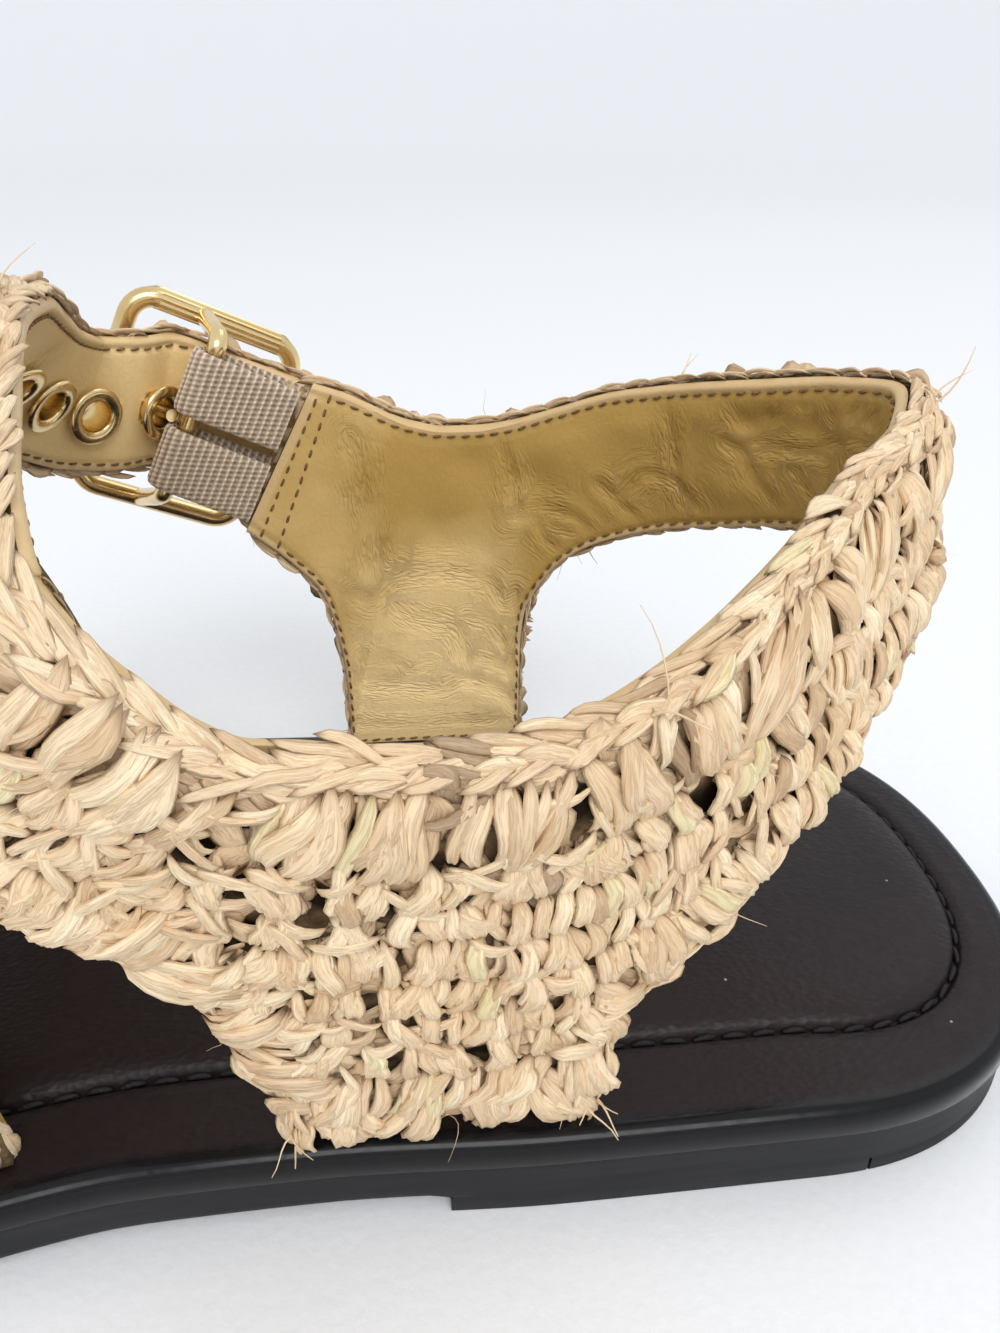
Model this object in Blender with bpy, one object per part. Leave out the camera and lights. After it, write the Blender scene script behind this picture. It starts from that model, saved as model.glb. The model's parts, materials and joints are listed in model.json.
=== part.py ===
"""Right fisherman sandal: crocheted raffia upper on a thin flat sole, with a buckled instep strap.

Sizes are millimetres. X runs from the heel to the toe, +Y is the inner side of the foot, Z is up.
Tables are measured from the back of the heel; the root empty moves the origin under the heel.
"""

import math

import bmesh
import bpy
from mathutils import Vector

MM = 0.001
GAP = 0.3

# Sole
SOLE_LENGTH = 258.0
HEEL_HALF = 33.0
HEEL_ARC = 30.0
TOE_ARC = 52.0
HEEL_POWER = 2.35
TOE_POWER = 2.15
TOE_TIP_Y = 7.0
HEEL_LIFT = 2.0
HEEL_BREAST = 64.7
HEEL_TIP_LENGTH = 25.0
FOREFOOT_FLAT = (135.0, 205.0)
TOE_SPRING = 6.0
OUTSOLE_THICK = 4.0
FOOTBED_THICK = 3.7
EDGE_ROUND = 1.5
WALL_INSET = 0.5
SOLE_BEVEL = 0.8
HEEL_BEVEL = 0.4
SOLE_STATIONS = 34
HEEL_STATIONS = 12
PAD_INSET = 10.0
PAD_BACK = 6.3
PAD_RISE = 1.3
GROOVE_WIDTH = 1.6
GROOVE_DEPTH = 0.7
PAD_SHOULDER = 4.0
ORIGIN_X = 32.0

# Upper
WALL = 4.4
RELIEF = 0.5
EDGE_SHARE = 0.62
LEG_FOOT = 10.2
COLUMNS_PER_RIB = 3
VAMP_WALL = 4.0
VAMP_INSET = 4.2
BAR_HALF = 7.5
VAMP_SIDE_POWER = 0.92
VAMP_CROWN_POWER = 0.82
BAND_COLUMNS = 4
GAP_COLUMNS = 3
TAIL_COLUMNS = 6
SIDE_ROWS = 8

# Buckle and eyelets
FRAME_LENGTH = 23.0
FRAME_HEIGHT = 27.0
FRAME_CORNER = 3.0
FRAME_WIRE = 1.2
FRAME_LIFT = 9.6
FRAME_DROP = 2.0
FRAME_BACK = 2.0
CENTRE_BAR = 1.1
PRONG_RADIUS = 0.75
EYELET_BORE = 1.8
EYELET_BARREL = 2.3
EYELET_FLANGE = 3.3
EYELET_LIP = 0.5
EYELET_PITCH = 8.4
EYELET_COUNT = 4
EYELET_SHARE = 0.47
ELASTIC_THICK = 1.0
ELASTIC_SLIT = 3.2
ELASTIC_WIDTH = 17.0

# x, inner half-width, outer half-width of the sole between its two round ends
OUTLINE = (
    (30.0, 33.0, 33.0),
    (54.0, 32.8, 34.2),
    (76.0, 31.6, 35.8),
    (92.0, 31.4, 37.6),
    (117.0, 35.2, 40.2),
    (140.0, 39.4, 43.0),
    (165.0, 42.8, 45.6),
    (185.0, 43.8, 46.4),
    (206.0, 42.4, 44.6),
)

# Ribs of the raffia wall: its lower edge x, y, z and its upper edge x, y, z.
RIBS = (
    # outer quarter, from the seam at the elastic back to the heel
    (84.0, -32.6, 41.5, 74.2, -34.2, 59.6),
    (79.0, -32.4, 37.2, 71.0, -34.1, 58.6),
    (75.0, -32.2, 32.0, 68.0, -34.0, 57.2),
    (73.3, -32.0, 22.0, 65.5, -33.8, 56.0),
    (73.0, -32.0, LEG_FOOT, 63.0, -33.6, 55.2),
    (61.5, -31.8, LEG_FOOT, 59.5, -33.2, 54.6),
    (50.0, -31.2, LEG_FOOT, 55.5, -32.6, 54.8),
    (49.6, -31.0, 22.0, 52.0, -31.8, 55.4),
    (48.8, -30.4, 30.5, 48.6, -30.8, 56.4),
    (46.4, -29.6, 35.6, 45.0, -29.3, 57.8),
    (42.0, -28.0, 39.6, 40.8, -27.0, 59.6),
    (35.5, -25.2, 42.6, 36.0, -23.0, 61.4),
    (28.0, -20.0, 45.2, 29.5, -15.8, 63.8),
    (20.8, -11.2, 47.8, 22.0, -7.8, 65.9),
    # back of the heel
    (17.4, 0.0, 49.2, 18.8, 0.0, 66.9),
    # inner quarter
    (21.0, 11.2, 47.4, 22.0, 7.6, 65.9),
    (27.4, 19.6, 45.0, 29.8, 15.4, 64.2),
    (32.6, 24.6, 40.8, 35.8, 22.6, 62.4),
    (37.0, 27.0, 36.4, 40.6, 27.2, 60.5),
    (41.8, 28.6, 30.2, 45.0, 30.7, 58.6),
    (47.0, 29.2, 24.6, 49.5, 33.2, 56.5),
    (50.6, 29.2, 20.5, 53.5, 34.8, 55.0),
    (51.5, 28.7, LEG_FOOT, 57.5, 35.8, 54.1),
    (64.5, 29.0, LEG_FOOT, 63.5, 36.5, 53.6),
    (78.0, 29.2, LEG_FOOT, 69.0, 37.0, 54.0),
    (79.0, 29.4, 15.8, 73.5, 37.4, 54.8),
    (81.4, 30.0, 20.4, 77.0, 37.8, 55.4),
    (82.6, 31.2, 26.0, 80.0, 38.0, 57.2),
    (84.6, 32.6, 32.2, 82.8, 38.2, 60.2),
    (88.6, 34.2, 37.0, 85.4, 38.3, 63.6),
    # arm and strap over the instep
    (94.0, 36.0, 42.6, 87.8, 37.4, 67.2),
    (100.5, 34.0, 50.5, 89.8, 31.0, 70.6),
    (106.5, 26.5, 58.5, 91.4, 20.5, 73.6),
    (110.5, 14.0, 64.0, 92.8, 9.0, 76.6),
    (111.5, 1.0, 65.0, 94.0, -3.0, 75.4),
    (110.5, -12.0, 62.6, 95.4, -14.0, 71.8),
    (108.0, -22.0, 56.0, 97.2, -23.5, 68.6),
    (104.0, -29.4, 51.2, 97.6, -30.2, 66.4),
    (99.0, -33.8, 49.4, 93.8, -34.2, 65.4),
    (95.2, -38.2, 48.6, 90.6, -38.2, 64.9),
    (90.2, -39.6, 46.8, 84.9, -39.6, 62.4),
    (82.2, -39.8, 43.1, 75.8, -39.8, 58.7),
    (73.6, -39.6, 39.5, 67.2, -39.6, 54.9),
    # rounded tip
    (67.4, -39.2, 38.3, 62.0, -39.2, 51.5),
    (62.9, -38.9, 38.7, 59.1, -38.9, 47.9),
    (60.2, -38.8, 40.8, 58.6, -38.8, 44.4),
)
STRAP_RIB = 36.0
PRONG_EYELET_RIB = 38.55

# share across the wall, share of the relief there: braided rims, rows of stitches between
ROWS = (
    (0.0, 0.0),
    (0.09, 1.0),
    (0.2, 0.1),
    (0.36, 0.8),
    (0.5, 0.2),
    (0.64, 0.8),
    (0.8, 0.1),
    (0.91, 1.0),
    (1.0, 0.0),
)

# station on the crown, crown height above the sole's top, sweep of the sides towards the heel
VAMP = (
    (96.0, 56.2, 12.0),
    (104.0, 52.6, 11.0),
    (112.0, 48.8, 10.0),
    (130.0, 43.4, 10.0),
    (150.0, 38.6, 9.0),
    (170.0, 33.6, 8.0),
    (190.0, 29.4, 6.0),
    (212.0, 25.0, 4.0),
)

# rear and front crown stations of each band
BANDS = (
    (112.0, 129.0),
    (138.0, 155.0),
    (164.0, 181.0),
    (190.0, 212.0),
)
BAR_END = 104.0

# colour, roughness, metallic
FINISHES = {
    "raffia": ((0.80, 0.68, 0.50), 0.75, 0.0),
    "espresso_leather": ((0.075, 0.045, 0.035), 0.42, 0.0),
    "charcoal_sole": ((0.06, 0.058, 0.06), 0.6, 0.0),
    "heel_rubber": ((0.035, 0.035, 0.037), 0.7, 0.0),
    "taupe_elastic": ((0.33, 0.26, 0.20), 0.8, 0.0),
    "gold_metal": ((0.83, 0.66, 0.34), 0.25, 1.0),
}


def clear_scene():
    for item in list(bpy.data.objects):
        bpy.data.objects.remove(item, do_unlink=True)


def finish(name):
    found = bpy.data.materials.get(name)
    if found:
        return found
    colour, roughness, metallic = FINISHES[name]
    material = bpy.data.materials.new(name)
    material.use_nodes = True
    shader = material.node_tree.nodes["Principled BSDF"]
    shader.inputs["Base Color"].default_value = (*colour, 1.0)
    shader.inputs["Roughness"].default_value = roughness
    shader.inputs["Metallic"].default_value = metallic
    return material


def add_piece(name, points, faces, material, root):
    mesh = bpy.data.meshes.new(name)
    mesh.from_pydata([Vector(p) * MM for p in points], [], faces)
    work = bmesh.new()
    work.from_mesh(mesh)
    bmesh.ops.triangulate(work, faces=[f for f in work.faces if len(f.verts) > 4])
    bmesh.ops.recalc_face_normals(work, faces=work.faces)
    work.to_mesh(mesh)
    work.free()
    mesh.shade_smooth()
    mesh.set_sharp_from_angle(angle=math.radians(35.0))
    mesh.materials.append(finish(material))
    piece = bpy.data.objects.new(name, mesh)
    bpy.context.scene.collection.objects.link(piece)
    piece.parent = root
    return piece


def slope(rows, k, column):
    """Tangent that never overshoots a row."""
    if k == 0 or k == len(rows) - 1:
        near = 1 if k == 0 else k - 1
        return (rows[near][column] - rows[k][column]) * (1 if k == 0 else -1)
    back = rows[k][column] - rows[k - 1][column]
    ahead = rows[k + 1][column] - rows[k][column]
    if back * ahead <= 0.0:
        return 0.0
    return 2.0 * back * ahead / (back + ahead)


def along(rows, t):
    """Row values at the fractional row number t."""
    k = min(max(int(t), 0), len(rows) - 2)
    f = t - k
    values = []
    for column in range(len(rows[0])):
        a = rows[k][column]
        b = rows[k + 1][column]
        ta = slope(rows, k, column)
        tb = slope(rows, k + 1, column)
        h = b - a
        values.append(a + f * (ta + f * (3 * h - 2 * ta - tb + f * (ta + tb - 2 * h))))
    return values


def at_x(rows, x):
    """Row values where the first column is x."""
    k = 0
    while k < len(rows) - 2 and rows[k + 1][0] < x:
        k += 1
    low, high = float(k), float(k + 1)
    for _ in range(30):
        middle = (low + high) / 2
        if along(rows, middle)[0] < x:
            low = middle
        else:
            high = middle
    return along(rows, low)


def half_widths(x):
    """Inner and outer half-width of the sole at x."""
    if x < HEEL_ARC:
        share = max(0.0, 1.0 - ((HEEL_ARC - x) / HEEL_ARC) ** HEEL_POWER) ** (1 / HEEL_POWER)
        return HEEL_HALF * share, HEEL_HALF * share
    toe_start = SOLE_LENGTH - TOE_ARC
    if x > toe_start:
        _, inner, outer = OUTLINE[-1]
        share = max(0.0, 1.0 - ((x - toe_start) / TOE_ARC) ** TOE_POWER) ** (1 / TOE_POWER)
        return TOE_TIP_Y + (inner - TOE_TIP_Y) * share, -TOE_TIP_Y + (outer + TOE_TIP_Y) * share
    return at_x(OUTLINE, x)[1:]


def spaced(first, last, count):
    """Stations that crowd at both ends, where the outline turns."""
    return [first + (last - first) * (1 - math.cos(math.pi * i / count)) / 2 for i in range(count + 1)]


def pulled_in(ring, distance):
    """Ring moved inwards by distance(x)."""
    moved = []
    for i, (x, y) in enumerate(ring):
        ahead = ring[(i + 1) % len(ring)]
        run = Vector((ahead[0] - ring[i - 1][0], ahead[1] - ring[i - 1][1])).normalized()
        moved.append((x - run.y * distance(x), y + run.x * distance(x)))
    return moved


def sole_ring():
    """Edge of the sole: outer side from heel to toe, then inner side back to the heel."""
    xs = spaced(0.0, SOLE_LENGTH, SOLE_STATIONS)
    ring = [(x, -half_widths(x)[1]) for x in xs]
    return ring + [(x, half_widths(x)[0]) for x in reversed(xs[1:-1])]


def heel_ring(first, last):
    """Edge of a heel layer between two straight cuts, or from the round back to one cut."""
    xs = [first + (last - first) * i / HEEL_STATIONS for i in range(HEEL_STATIONS + 1)]
    if first == 0.0:
        xs = spaced(0.0, 2 * last, 2 * HEEL_STATIONS)[:HEEL_STATIONS + 1]
    ring = [(x, -half_widths(x)[1]) for x in xs]
    return ring + [(x, half_widths(x)[0]) for x in reversed(xs[1:] if first == 0.0 else xs)]


def underside(x):
    """Height of the outsole's lower face over the floor."""
    flat_start, flat_end = FOREFOOT_FLAT
    if x < HEEL_BREAST:
        return HEEL_LIFT
    if x < flat_start:
        share = (x - HEEL_BREAST) / (flat_start - HEEL_BREAST)
        return HEEL_LIFT * (0.5 + 0.5 * math.cos(math.pi * share))
    if x < flat_end:
        return 0.0
    return TOE_SPRING * ((x - flat_end) / (SOLE_LENGTH - flat_end)) ** 2


def footbed_top(x):
    return underside(x) + OUTSOLE_THICK + FOOTBED_THICK


def ringed(name, rings, rungs, pointed, material, root):
    """Solid from stacked rings, its two ends closed by rungs between the ring's two sides."""
    count = len(rings[0])
    points = [p for ring in rings for p in ring]
    faces = []
    for k in range(len(rings) - 1):
        for i in range(count):
            j = (i + 1) % count
            faces.append((k * count + i, k * count + j, (k + 1) * count + j, (k + 1) * count + i))
    partner = count if pointed else count - 1
    for start in (0, (len(rings) - 1) * count):
        for i in range(rungs):
            corners = (i, i + 1, (partner - i - 1) % count, (partner - i) % count)
            faces.append(tuple(start + c for c in dict.fromkeys(corners)))
    return add_piece(name, points, faces, material, root)


def outsole(root):
    levels = (
        (WALL_INSET + SOLE_BEVEL, 0.0),
        (WALL_INSET, SOLE_BEVEL),
        (WALL_INSET, OUTSOLE_THICK),
    )
    rings = []
    for inset, rise in levels:
        ring = pulled_in(sole_ring(), lambda x: inset)
        rings.append([(x, y, underside(x) + rise) for x, y in ring])
    ringed("outsole", rings, SOLE_STATIONS, True, "charcoal_sole", root)


def heel_layer(name, first, last, material, root):
    levels = (
        (WALL_INSET + HEEL_BEVEL, 0.0),
        (WALL_INSET, HEEL_BEVEL),
        (WALL_INSET, HEEL_LIFT - GAP),
    )
    rings = []
    for inset, z in levels:
        ring = pulled_in(heel_ring(first, last), lambda x: inset)
        rings.append([(min(max(x, first), last), y, z) for x, y in ring])
    ringed(name, rings, HEEL_STATIONS, first == 0.0, material, root)


def pad_inset(x):
    """Distance of the stitched groove from the sole's edge: closer at the back of the heel."""
    share = min(max(x / HEEL_ARC, 0.0), 1.0)
    return PAD_BACK + (PAD_INSET - PAD_BACK) * share


def footbed(root):
    foot = GAP - FOOTBED_THICK
    half_groove = GROOVE_WIDTH / 2
    # inset, counted from the groove or not, height over the footbed's top
    levels = (
        (SOLE_BEVEL / 2, False, foot),
        (0.0, False, foot + SOLE_BEVEL / 2),
        (0.0, False, -EDGE_ROUND),
        (EDGE_ROUND * 0.3, False, -EDGE_ROUND * 0.3),
        (EDGE_ROUND, False, 0.0),
        (-half_groove, True, 0.0),
        (0.0, True, -GROOVE_DEPTH),
        (half_groove, True, PAD_RISE * 0.45),
        (half_groove + PAD_SHOULDER, True, PAD_RISE),
        (half_groove + PAD_SHOULDER * 3, True, PAD_RISE * 1.15),
    )
    rings = []
    for inset, from_groove, rise in levels:
        ring = pulled_in(sole_ring(), lambda x: inset + (pad_inset(x) if from_groove else 0.0))
        rings.append([(x, y, footbed_top(x) + rise) for x, y in ring])
    ringed("footbed", rings, SOLE_STATIONS, True, "espresso_leather", root)


def walled(name, inner, outer, kept, material, root):
    """Solid wall between two grids of points, with the cells that are kept."""
    wide = len(inner[0])
    points = [p for row in inner for p in row]
    shift = len(points)
    points += [p for row in outer for p in row]
    faces = []
    rim = {}
    for i in range(len(inner) - 1):
        for j in range(wide - 1):
            if not kept(i, j):
                continue
            a, b = i * wide + j, i * wide + j + 1
            c, d = (i + 1) * wide + j + 1, (i + 1) * wide + j
            faces.append((d, c, b, a))
            faces.append((a + shift, b + shift, c + shift, d + shift))
            for edge in ((a, b), (b, c), (c, d), (d, a)):
                rim[tuple(sorted(edge))] = rim.get(tuple(sorted(edge)), []) + [edge]
    for uses in rim.values():
        if len(uses) == 1:
            a, b = uses[0]
            faces.append((b, a, a + shift, b + shift))
    used = sorted({v for face in faces for v in face})
    renumber = {v: n for n, v in enumerate(used)}
    faces = [tuple(renumber[v] for v in face) for face in faces]
    return add_piece(name, [points[v] for v in used], faces, material, root)


def rib_point(t, w):
    """Point of the raffia wall's middle surface at rib t, share w from lower to upper edge."""
    row = along(RIBS, t)
    return Vector(row[:3]).lerp(Vector(row[3:]), w)


def rib_frame(t, w):
    """Point of the middle surface and its outward direction."""
    step = 0.02
    last = len(RIBS) - 1.0
    run = rib_point(min(t + step, last), w) - rib_point(max(t - step, 0.0), w)
    rise = rib_point(t, 1.0) - rib_point(t, 0.0)
    return rib_point(t, w), run.cross(rise).normalized() * -1.0


def half_wall(t, w):
    share = 1.0 if 0.0 < w < 1.0 else EDGE_SHARE
    return share * WALL / 2 * (1.0 if t < STRAP_RIB - 3 else 0.86)


def quarter_and_strap(root):
    inner = []
    outer = []
    columns = (len(RIBS) - 1) * COLUMNS_PER_RIB
    for c in range(columns + 1):
        t = c / COLUMNS_PER_RIB
        inner.append([])
        outer.append([])
        for w, relief in ROWS:
            point, out = rib_frame(t, w)
            inner[-1].append(point - out * half_wall(t, w))
            outer[-1].append(point + out * (half_wall(t, w) + relief * RELIEF))
    return walled("quarter_and_strap", inner, outer, lambda i, j: True, "raffia", root)


def vamp_point(station, a):
    """Middle surface of the front bands: a runs from -1 at the outer side to 1 at the inner side."""
    _, crown, sweep = at_x(VAMP, station)
    x = station - sweep * a * a
    inner, outer = half_widths(x)
    low = -outer + VAMP_INSET
    high = inner - VAMP_INSET
    middle = (low + high) / 2
    angle = a * math.pi / 2
    y = middle + (high - low) / 2 * math.copysign(abs(math.sin(angle)) ** VAMP_SIDE_POWER, a)
    base = footbed_top(x) + GAP
    z = base + crown * abs(math.cos(angle)) ** VAMP_CROWN_POWER
    return Vector((x, y, z))


def vamp_frame(station, a):
    step = 0.004
    across = vamp_point(station, min(a + step, 1.0)) - vamp_point(station, max(a - step, -1.0))
    run = vamp_point(station + 0.3, a) - vamp_point(station - 0.3, a)
    out = run.cross(across).normalized()
    if abs(a) == 1.0:
        out = Vector((out.x, out.y, 0.0)).normalized()
    return vamp_point(station, a), out


def bar_share(station):
    """Half-width of the centre bar as a share of the arch, rounded off at its end."""
    arch_half = sum(half_widths(station)) / 2 - VAMP_INSET
    near_end = max(0.0, 1.0 - (station - BAR_END) / 4.0)
    return math.asin(BAR_HALF * (1.0 - 0.45 * near_end ** 2) / arch_half) / (math.pi / 2)


def vamp_columns():
    """Crown stations of the front bands' columns, and whether each starts a whole band."""
    columns = [(BAR_END + (BANDS[0][0] - BAR_END) * i / TAIL_COLUMNS, False) for i in range(TAIL_COLUMNS)]
    for k, (rear, front) in enumerate(BANDS):
        columns += [(rear + (front - rear) * i / BAND_COLUMNS, True) for i in range(BAND_COLUMNS)]
        if k + 1 < len(BANDS):
            wide = BANDS[k + 1][0] - front
            columns += [(front + wide * i / GAP_COLUMNS, False) for i in range(GAP_COLUMNS)]
    return columns + [(BANDS[-1][1], False)]


def vamp(root):
    columns = vamp_columns()
    inner = []
    outer = []
    for station, _ in columns:
        bar = bar_share(station)
        side = [bar + (1.0 - bar) * i / SIDE_ROWS for i in range(1, SIDE_ROWS + 1)]
        shares = [-a for a in reversed(side)] + [-bar, -bar / 3, bar / 3, bar] + side
        frames = [vamp_frame(station, a) for a in shares]
        inner.append([point - out * VAMP_WALL / 2 for point, out in frames])
        outer.append([point + out * VAMP_WALL / 2 for point, out in frames])

    def kept(i, j):
        return columns[i][1] or SIDE_ROWS <= j < SIDE_ROWS + 3

    return walled("vamp", inner, outer, kept, "raffia", root)


def swept(name, path, sections, material, root, closed=False):
    """Tube along a path; each section is a list of offsets across the path."""
    sides = len(sections[0])
    points = []
    for centre, offsets in zip(path, sections):
        points += [centre + offset for offset in offsets]
    faces = []
    last = len(path) if closed else len(path) - 1
    for k in range(last):
        m = (k + 1) % len(path)
        for i in range(sides):
            j = (i + 1) % sides
            faces.append((k * sides + i, k * sides + j, m * sides + j, m * sides + i))
    if not closed:
        faces.append(tuple(range(sides)))
        faces.append(tuple(range((len(path) - 1) * sides, len(path) * sides)))
    return add_piece(name, points, faces, material, root)


def buckle_axes():
    """Centre of the bar, then along the strap, across it and outwards."""
    centre = Vector((89.0, -33.6, 55.0))
    across = Vector((-0.437, -0.05, 0.898)).normalized()
    along_strap = Vector((0.852, 0.29, 0.43))
    out = along_strap.cross(across).normalized()
    return centre, across.cross(out).normalized(), across, out


def elastic(name, low, high, root):
    """One elastic loop: two leaves from the quarter's seam, folded round the bar."""
    centre, _, across, _ = buckle_axes()
    seam = rib_point(0.0, 0.5)
    run = (centre - seam).normalized()
    out = run.cross(across).normalized()
    fold = ELASTIC_THICK / 2 + CENTRE_BAR + GAP
    seam_back = 2 * GAP - (centre - seam).length
    inside = []
    outside = []
    for w in (low, high):
        shift = across * w
        for side, store in ((fold - ELASTIC_THICK / 2, inside), (fold + ELASTIC_THICK / 2, outside)):
            leaf = [centre + shift + run * seam_back * (1 - i / 3) - out * side for i in range(3)]
            leaf += [centre + shift + (run * math.sin(a) - out * math.cos(a)) * side
                     for a in [math.pi * i / 8 for i in range(9)]]
            leaf += [centre + shift + run * seam_back * ((i + 1) / 3) + out * side for i in range(3)]
            store.append(leaf)
    points = inside[0] + inside[1] + outside[0] + outside[1]
    n = len(inside[0])
    faces = []
    for i in range(n - 1):
        a, b, c, d = i, n + i, 2 * n + i, 3 * n + i
        faces += [(a, a + 1, b + 1, b), (c, d, d + 1, c + 1), (a, c, c + 1, a + 1), (b, b + 1, d + 1, d)]
    for i in (0, n - 1):
        faces.append((i, n + i, 3 * n + i, 2 * n + i))
    return add_piece(name, points, faces, "taupe_elastic", root)


def round_section(radius, first, second, sides=8):
    turns = [2 * math.pi * i / sides for i in range(sides)]
    return [first * radius * math.cos(a) + second * radius * math.sin(a) for a in turns]


def buckle_frame(root):
    centre, run, across, out = buckle_axes()
    middle = centre + out * FRAME_LIFT - across * FRAME_DROP - run * FRAME_BACK
    half_run = FRAME_LENGTH / 2 - FRAME_WIRE
    half_across = FRAME_HEIGHT / 2 - FRAME_WIRE
    path = []
    sections = []
    for quarter in range(4):
        sx = (1, -1, -1, 1)[quarter]
        sy = (1, 1, -1, -1)[quarter]
        corner = middle + run * sx * (half_run - FRAME_CORNER) + across * sy * (half_across - FRAME_CORNER)
        for i in range(5):
            a = math.pi / 2 * (quarter + i / 4)
            spoke = run * math.cos(a) + across * math.sin(a)
            path.append(corner + spoke * FRAME_CORNER)
            sections.append(round_section(FRAME_WIRE, spoke, out))
    frame = swept("buckle_frame", path, sections, "gold_metal", root, closed=True)
    bar_path = []
    bar_sections = []
    reach = half_across
    stops = ((-reach, FRAME_LIFT), (-reach + 1.8, FRAME_LIFT * 0.6), (-reach + 4.0, 1.3), (-reach + 5.3, 0.0),
             (reach - 1.6, 0.0), (reach - 0.5, 0.5), (reach, 1.6), (reach, FRAME_LIFT))
    turned = (0.2, 0.3, 0.45, 0.8, 0.9, 0.5, 0.1, 0.0)
    for (w, lift), turn in zip(stops, turned):
        bar_path.append(centre + across * (w - FRAME_DROP) + out * lift)
        tilt = math.copysign(turn * math.pi / 2, -w)
        side = across * math.cos(tilt) + out * math.sin(tilt)
        bar_sections.append(round_section(CENTRE_BAR, run, side))
    bar = swept("centre_bar_form", bar_path, bar_sections, "gold_metal", root)
    join(frame, bar, "UNION")


def join(piece, other, how):
    """Apply a Boolean with another form and drop that form."""
    cut = piece.modifiers.new("joint", "BOOLEAN")
    cut.operation = how
    cut.solver = "EXACT"
    cut.object = other
    bpy.context.view_layer.update()
    graph = bpy.context.evaluated_depsgraph_get()
    result = bpy.data.meshes.new_from_object(piece.evaluated_get(graph))
    piece.modifiers.remove(cut)
    piece.data = result
    bpy.data.objects.remove(other, do_unlink=True)


def strap_places():
    """Rib numbers of the eyelets: a pitch apart along the strap, ending at the prong's."""
    step = 0.01
    t = PRONG_EYELET_RIB
    places = [t]
    while len(places) < EYELET_COUNT:
        walked = 0.0
        while walked < EYELET_PITCH:
            walked += (rib_point(t - step, EYELET_SHARE) - rib_point(t, EYELET_SHARE)).length
            t -= step
        places.append(t)
    return sorted(places)


def eyelet_axes(t):
    point, out = rib_frame(t, EYELET_SHARE)
    across = (rib_point(t, 1.0) - rib_point(t, 0.0)).normalized()
    return point, across.cross(out).normalized(), across, out


def flange_seats(frame, t):
    """Lowest inner and highest outer height of the wall under an eyelet's flanges."""
    centre, _, _, out = frame
    low = -half_wall(t, EYELET_SHARE)
    high = -low
    for i in range(-20, 21):
        for j in range(-5, 6):
            around = t + i * 0.07
            w = EYELET_SHARE + j * 0.06
            point, normal = rib_frame(around, w)
            if (point - centre).length > EYELET_FLANGE + WALL / 4:
                continue
            half = half_wall(around, w)
            low = min(low, (point - normal * half - centre).dot(out))
            high = max(high, (point + normal * (half + RELIEF) - centre).dot(out))
    return low, high


def turned_ring(name, frame, profile, root, sides=18):
    """Ring turned round the outward axis from radius, height pairs."""
    centre, first, second, out = frame
    points = []
    for i in range(sides):
        a = 2 * math.pi * i / sides
        spoke = first * math.cos(a) + second * math.sin(a)
        points += [centre + spoke * radius + out * height for radius, height in profile]
    n = len(profile)
    faces = []
    for i in range(sides):
        m = (i + 1) % sides
        for k in range(n):
            h = (k + 1) % n
            faces.append((i * n + k, i * n + h, m * n + h, m * n + k))
    return add_piece(name, points, faces, "gold_metal", root)


def eyelets(strap, root):
    for number, t in enumerate(strap_places(), 1):
        frame = eyelet_axes(t)
        centre, first, second, out = frame
        low, high = flange_seats(frame, t)
        back = low - GAP
        front = high + GAP
        reach = WALL
        hole = EYELET_BARREL + GAP
        drill = swept("drill", [centre - out * reach, centre + out * reach],
                      [round_section(hole, first, second, 18)] * 2, "gold_metal", root)
        join(strap, drill, "DIFFERENCE")
        profile = (
            (EYELET_BORE, back - EYELET_LIP * 0.4),
            (EYELET_BORE + 0.6, back - EYELET_LIP),
            (EYELET_FLANGE - 0.4, back - EYELET_LIP * 0.8),
            (EYELET_FLANGE, back),
            (EYELET_BARREL, back),
            (EYELET_BARREL, front),
            (EYELET_FLANGE, front),
            (EYELET_FLANGE - 0.4, front + EYELET_LIP * 0.8),
            (EYELET_BORE + 0.6, front + EYELET_LIP),
            (EYELET_BORE, front + EYELET_LIP * 0.4),
        )
        turned_ring(f"eyelet_{number}", frame, profile, root)


def buckle_prong(root):
    """Tongue: from the centre bar, out through the eyelet and over the frame's front end."""
    centre, run, across, out = buckle_axes()
    eyelet, _, _, eyelet_out = eyelet_axes(PRONG_EYELET_RIB)
    front = centre + out * FRAME_LIFT - across * FRAME_DROP + run * (FRAME_LENGTH / 2 - FRAME_WIRE - FRAME_BACK)
    over = FRAME_WIRE + PRONG_RADIUS + GAP * 1.5
    stops = [
        centre + run * (CENTRE_BAR + GAP + PRONG_RADIUS),
        eyelet - eyelet_out * 2.6,
        eyelet + eyelet_out * 3.2,
        front + out * over * 1.25 - run * 2.9,
        front + out * over * 1.1 + run * 2.2,
    ]
    path = []
    rows = [tuple(s) for s in stops]
    steps = 16
    for i in range(steps + 1):
        path.append(Vector(along(rows, (len(rows) - 1) * i / steps)))
    sections = []
    for i, point in enumerate(path):
        ahead = path[min(i + 1, steps)] - path[max(i - 1, 0)]
        side = ahead.cross(across).normalized()
        other = side.cross(ahead).normalized()
        taper = 1.0 - 0.35 * max(0.0, i / steps - 0.75) * 4
        sections.append(round_section(PRONG_RADIUS * taper, side, other))
    swept("buckle_prong", path, sections, "gold_metal", root)


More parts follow.
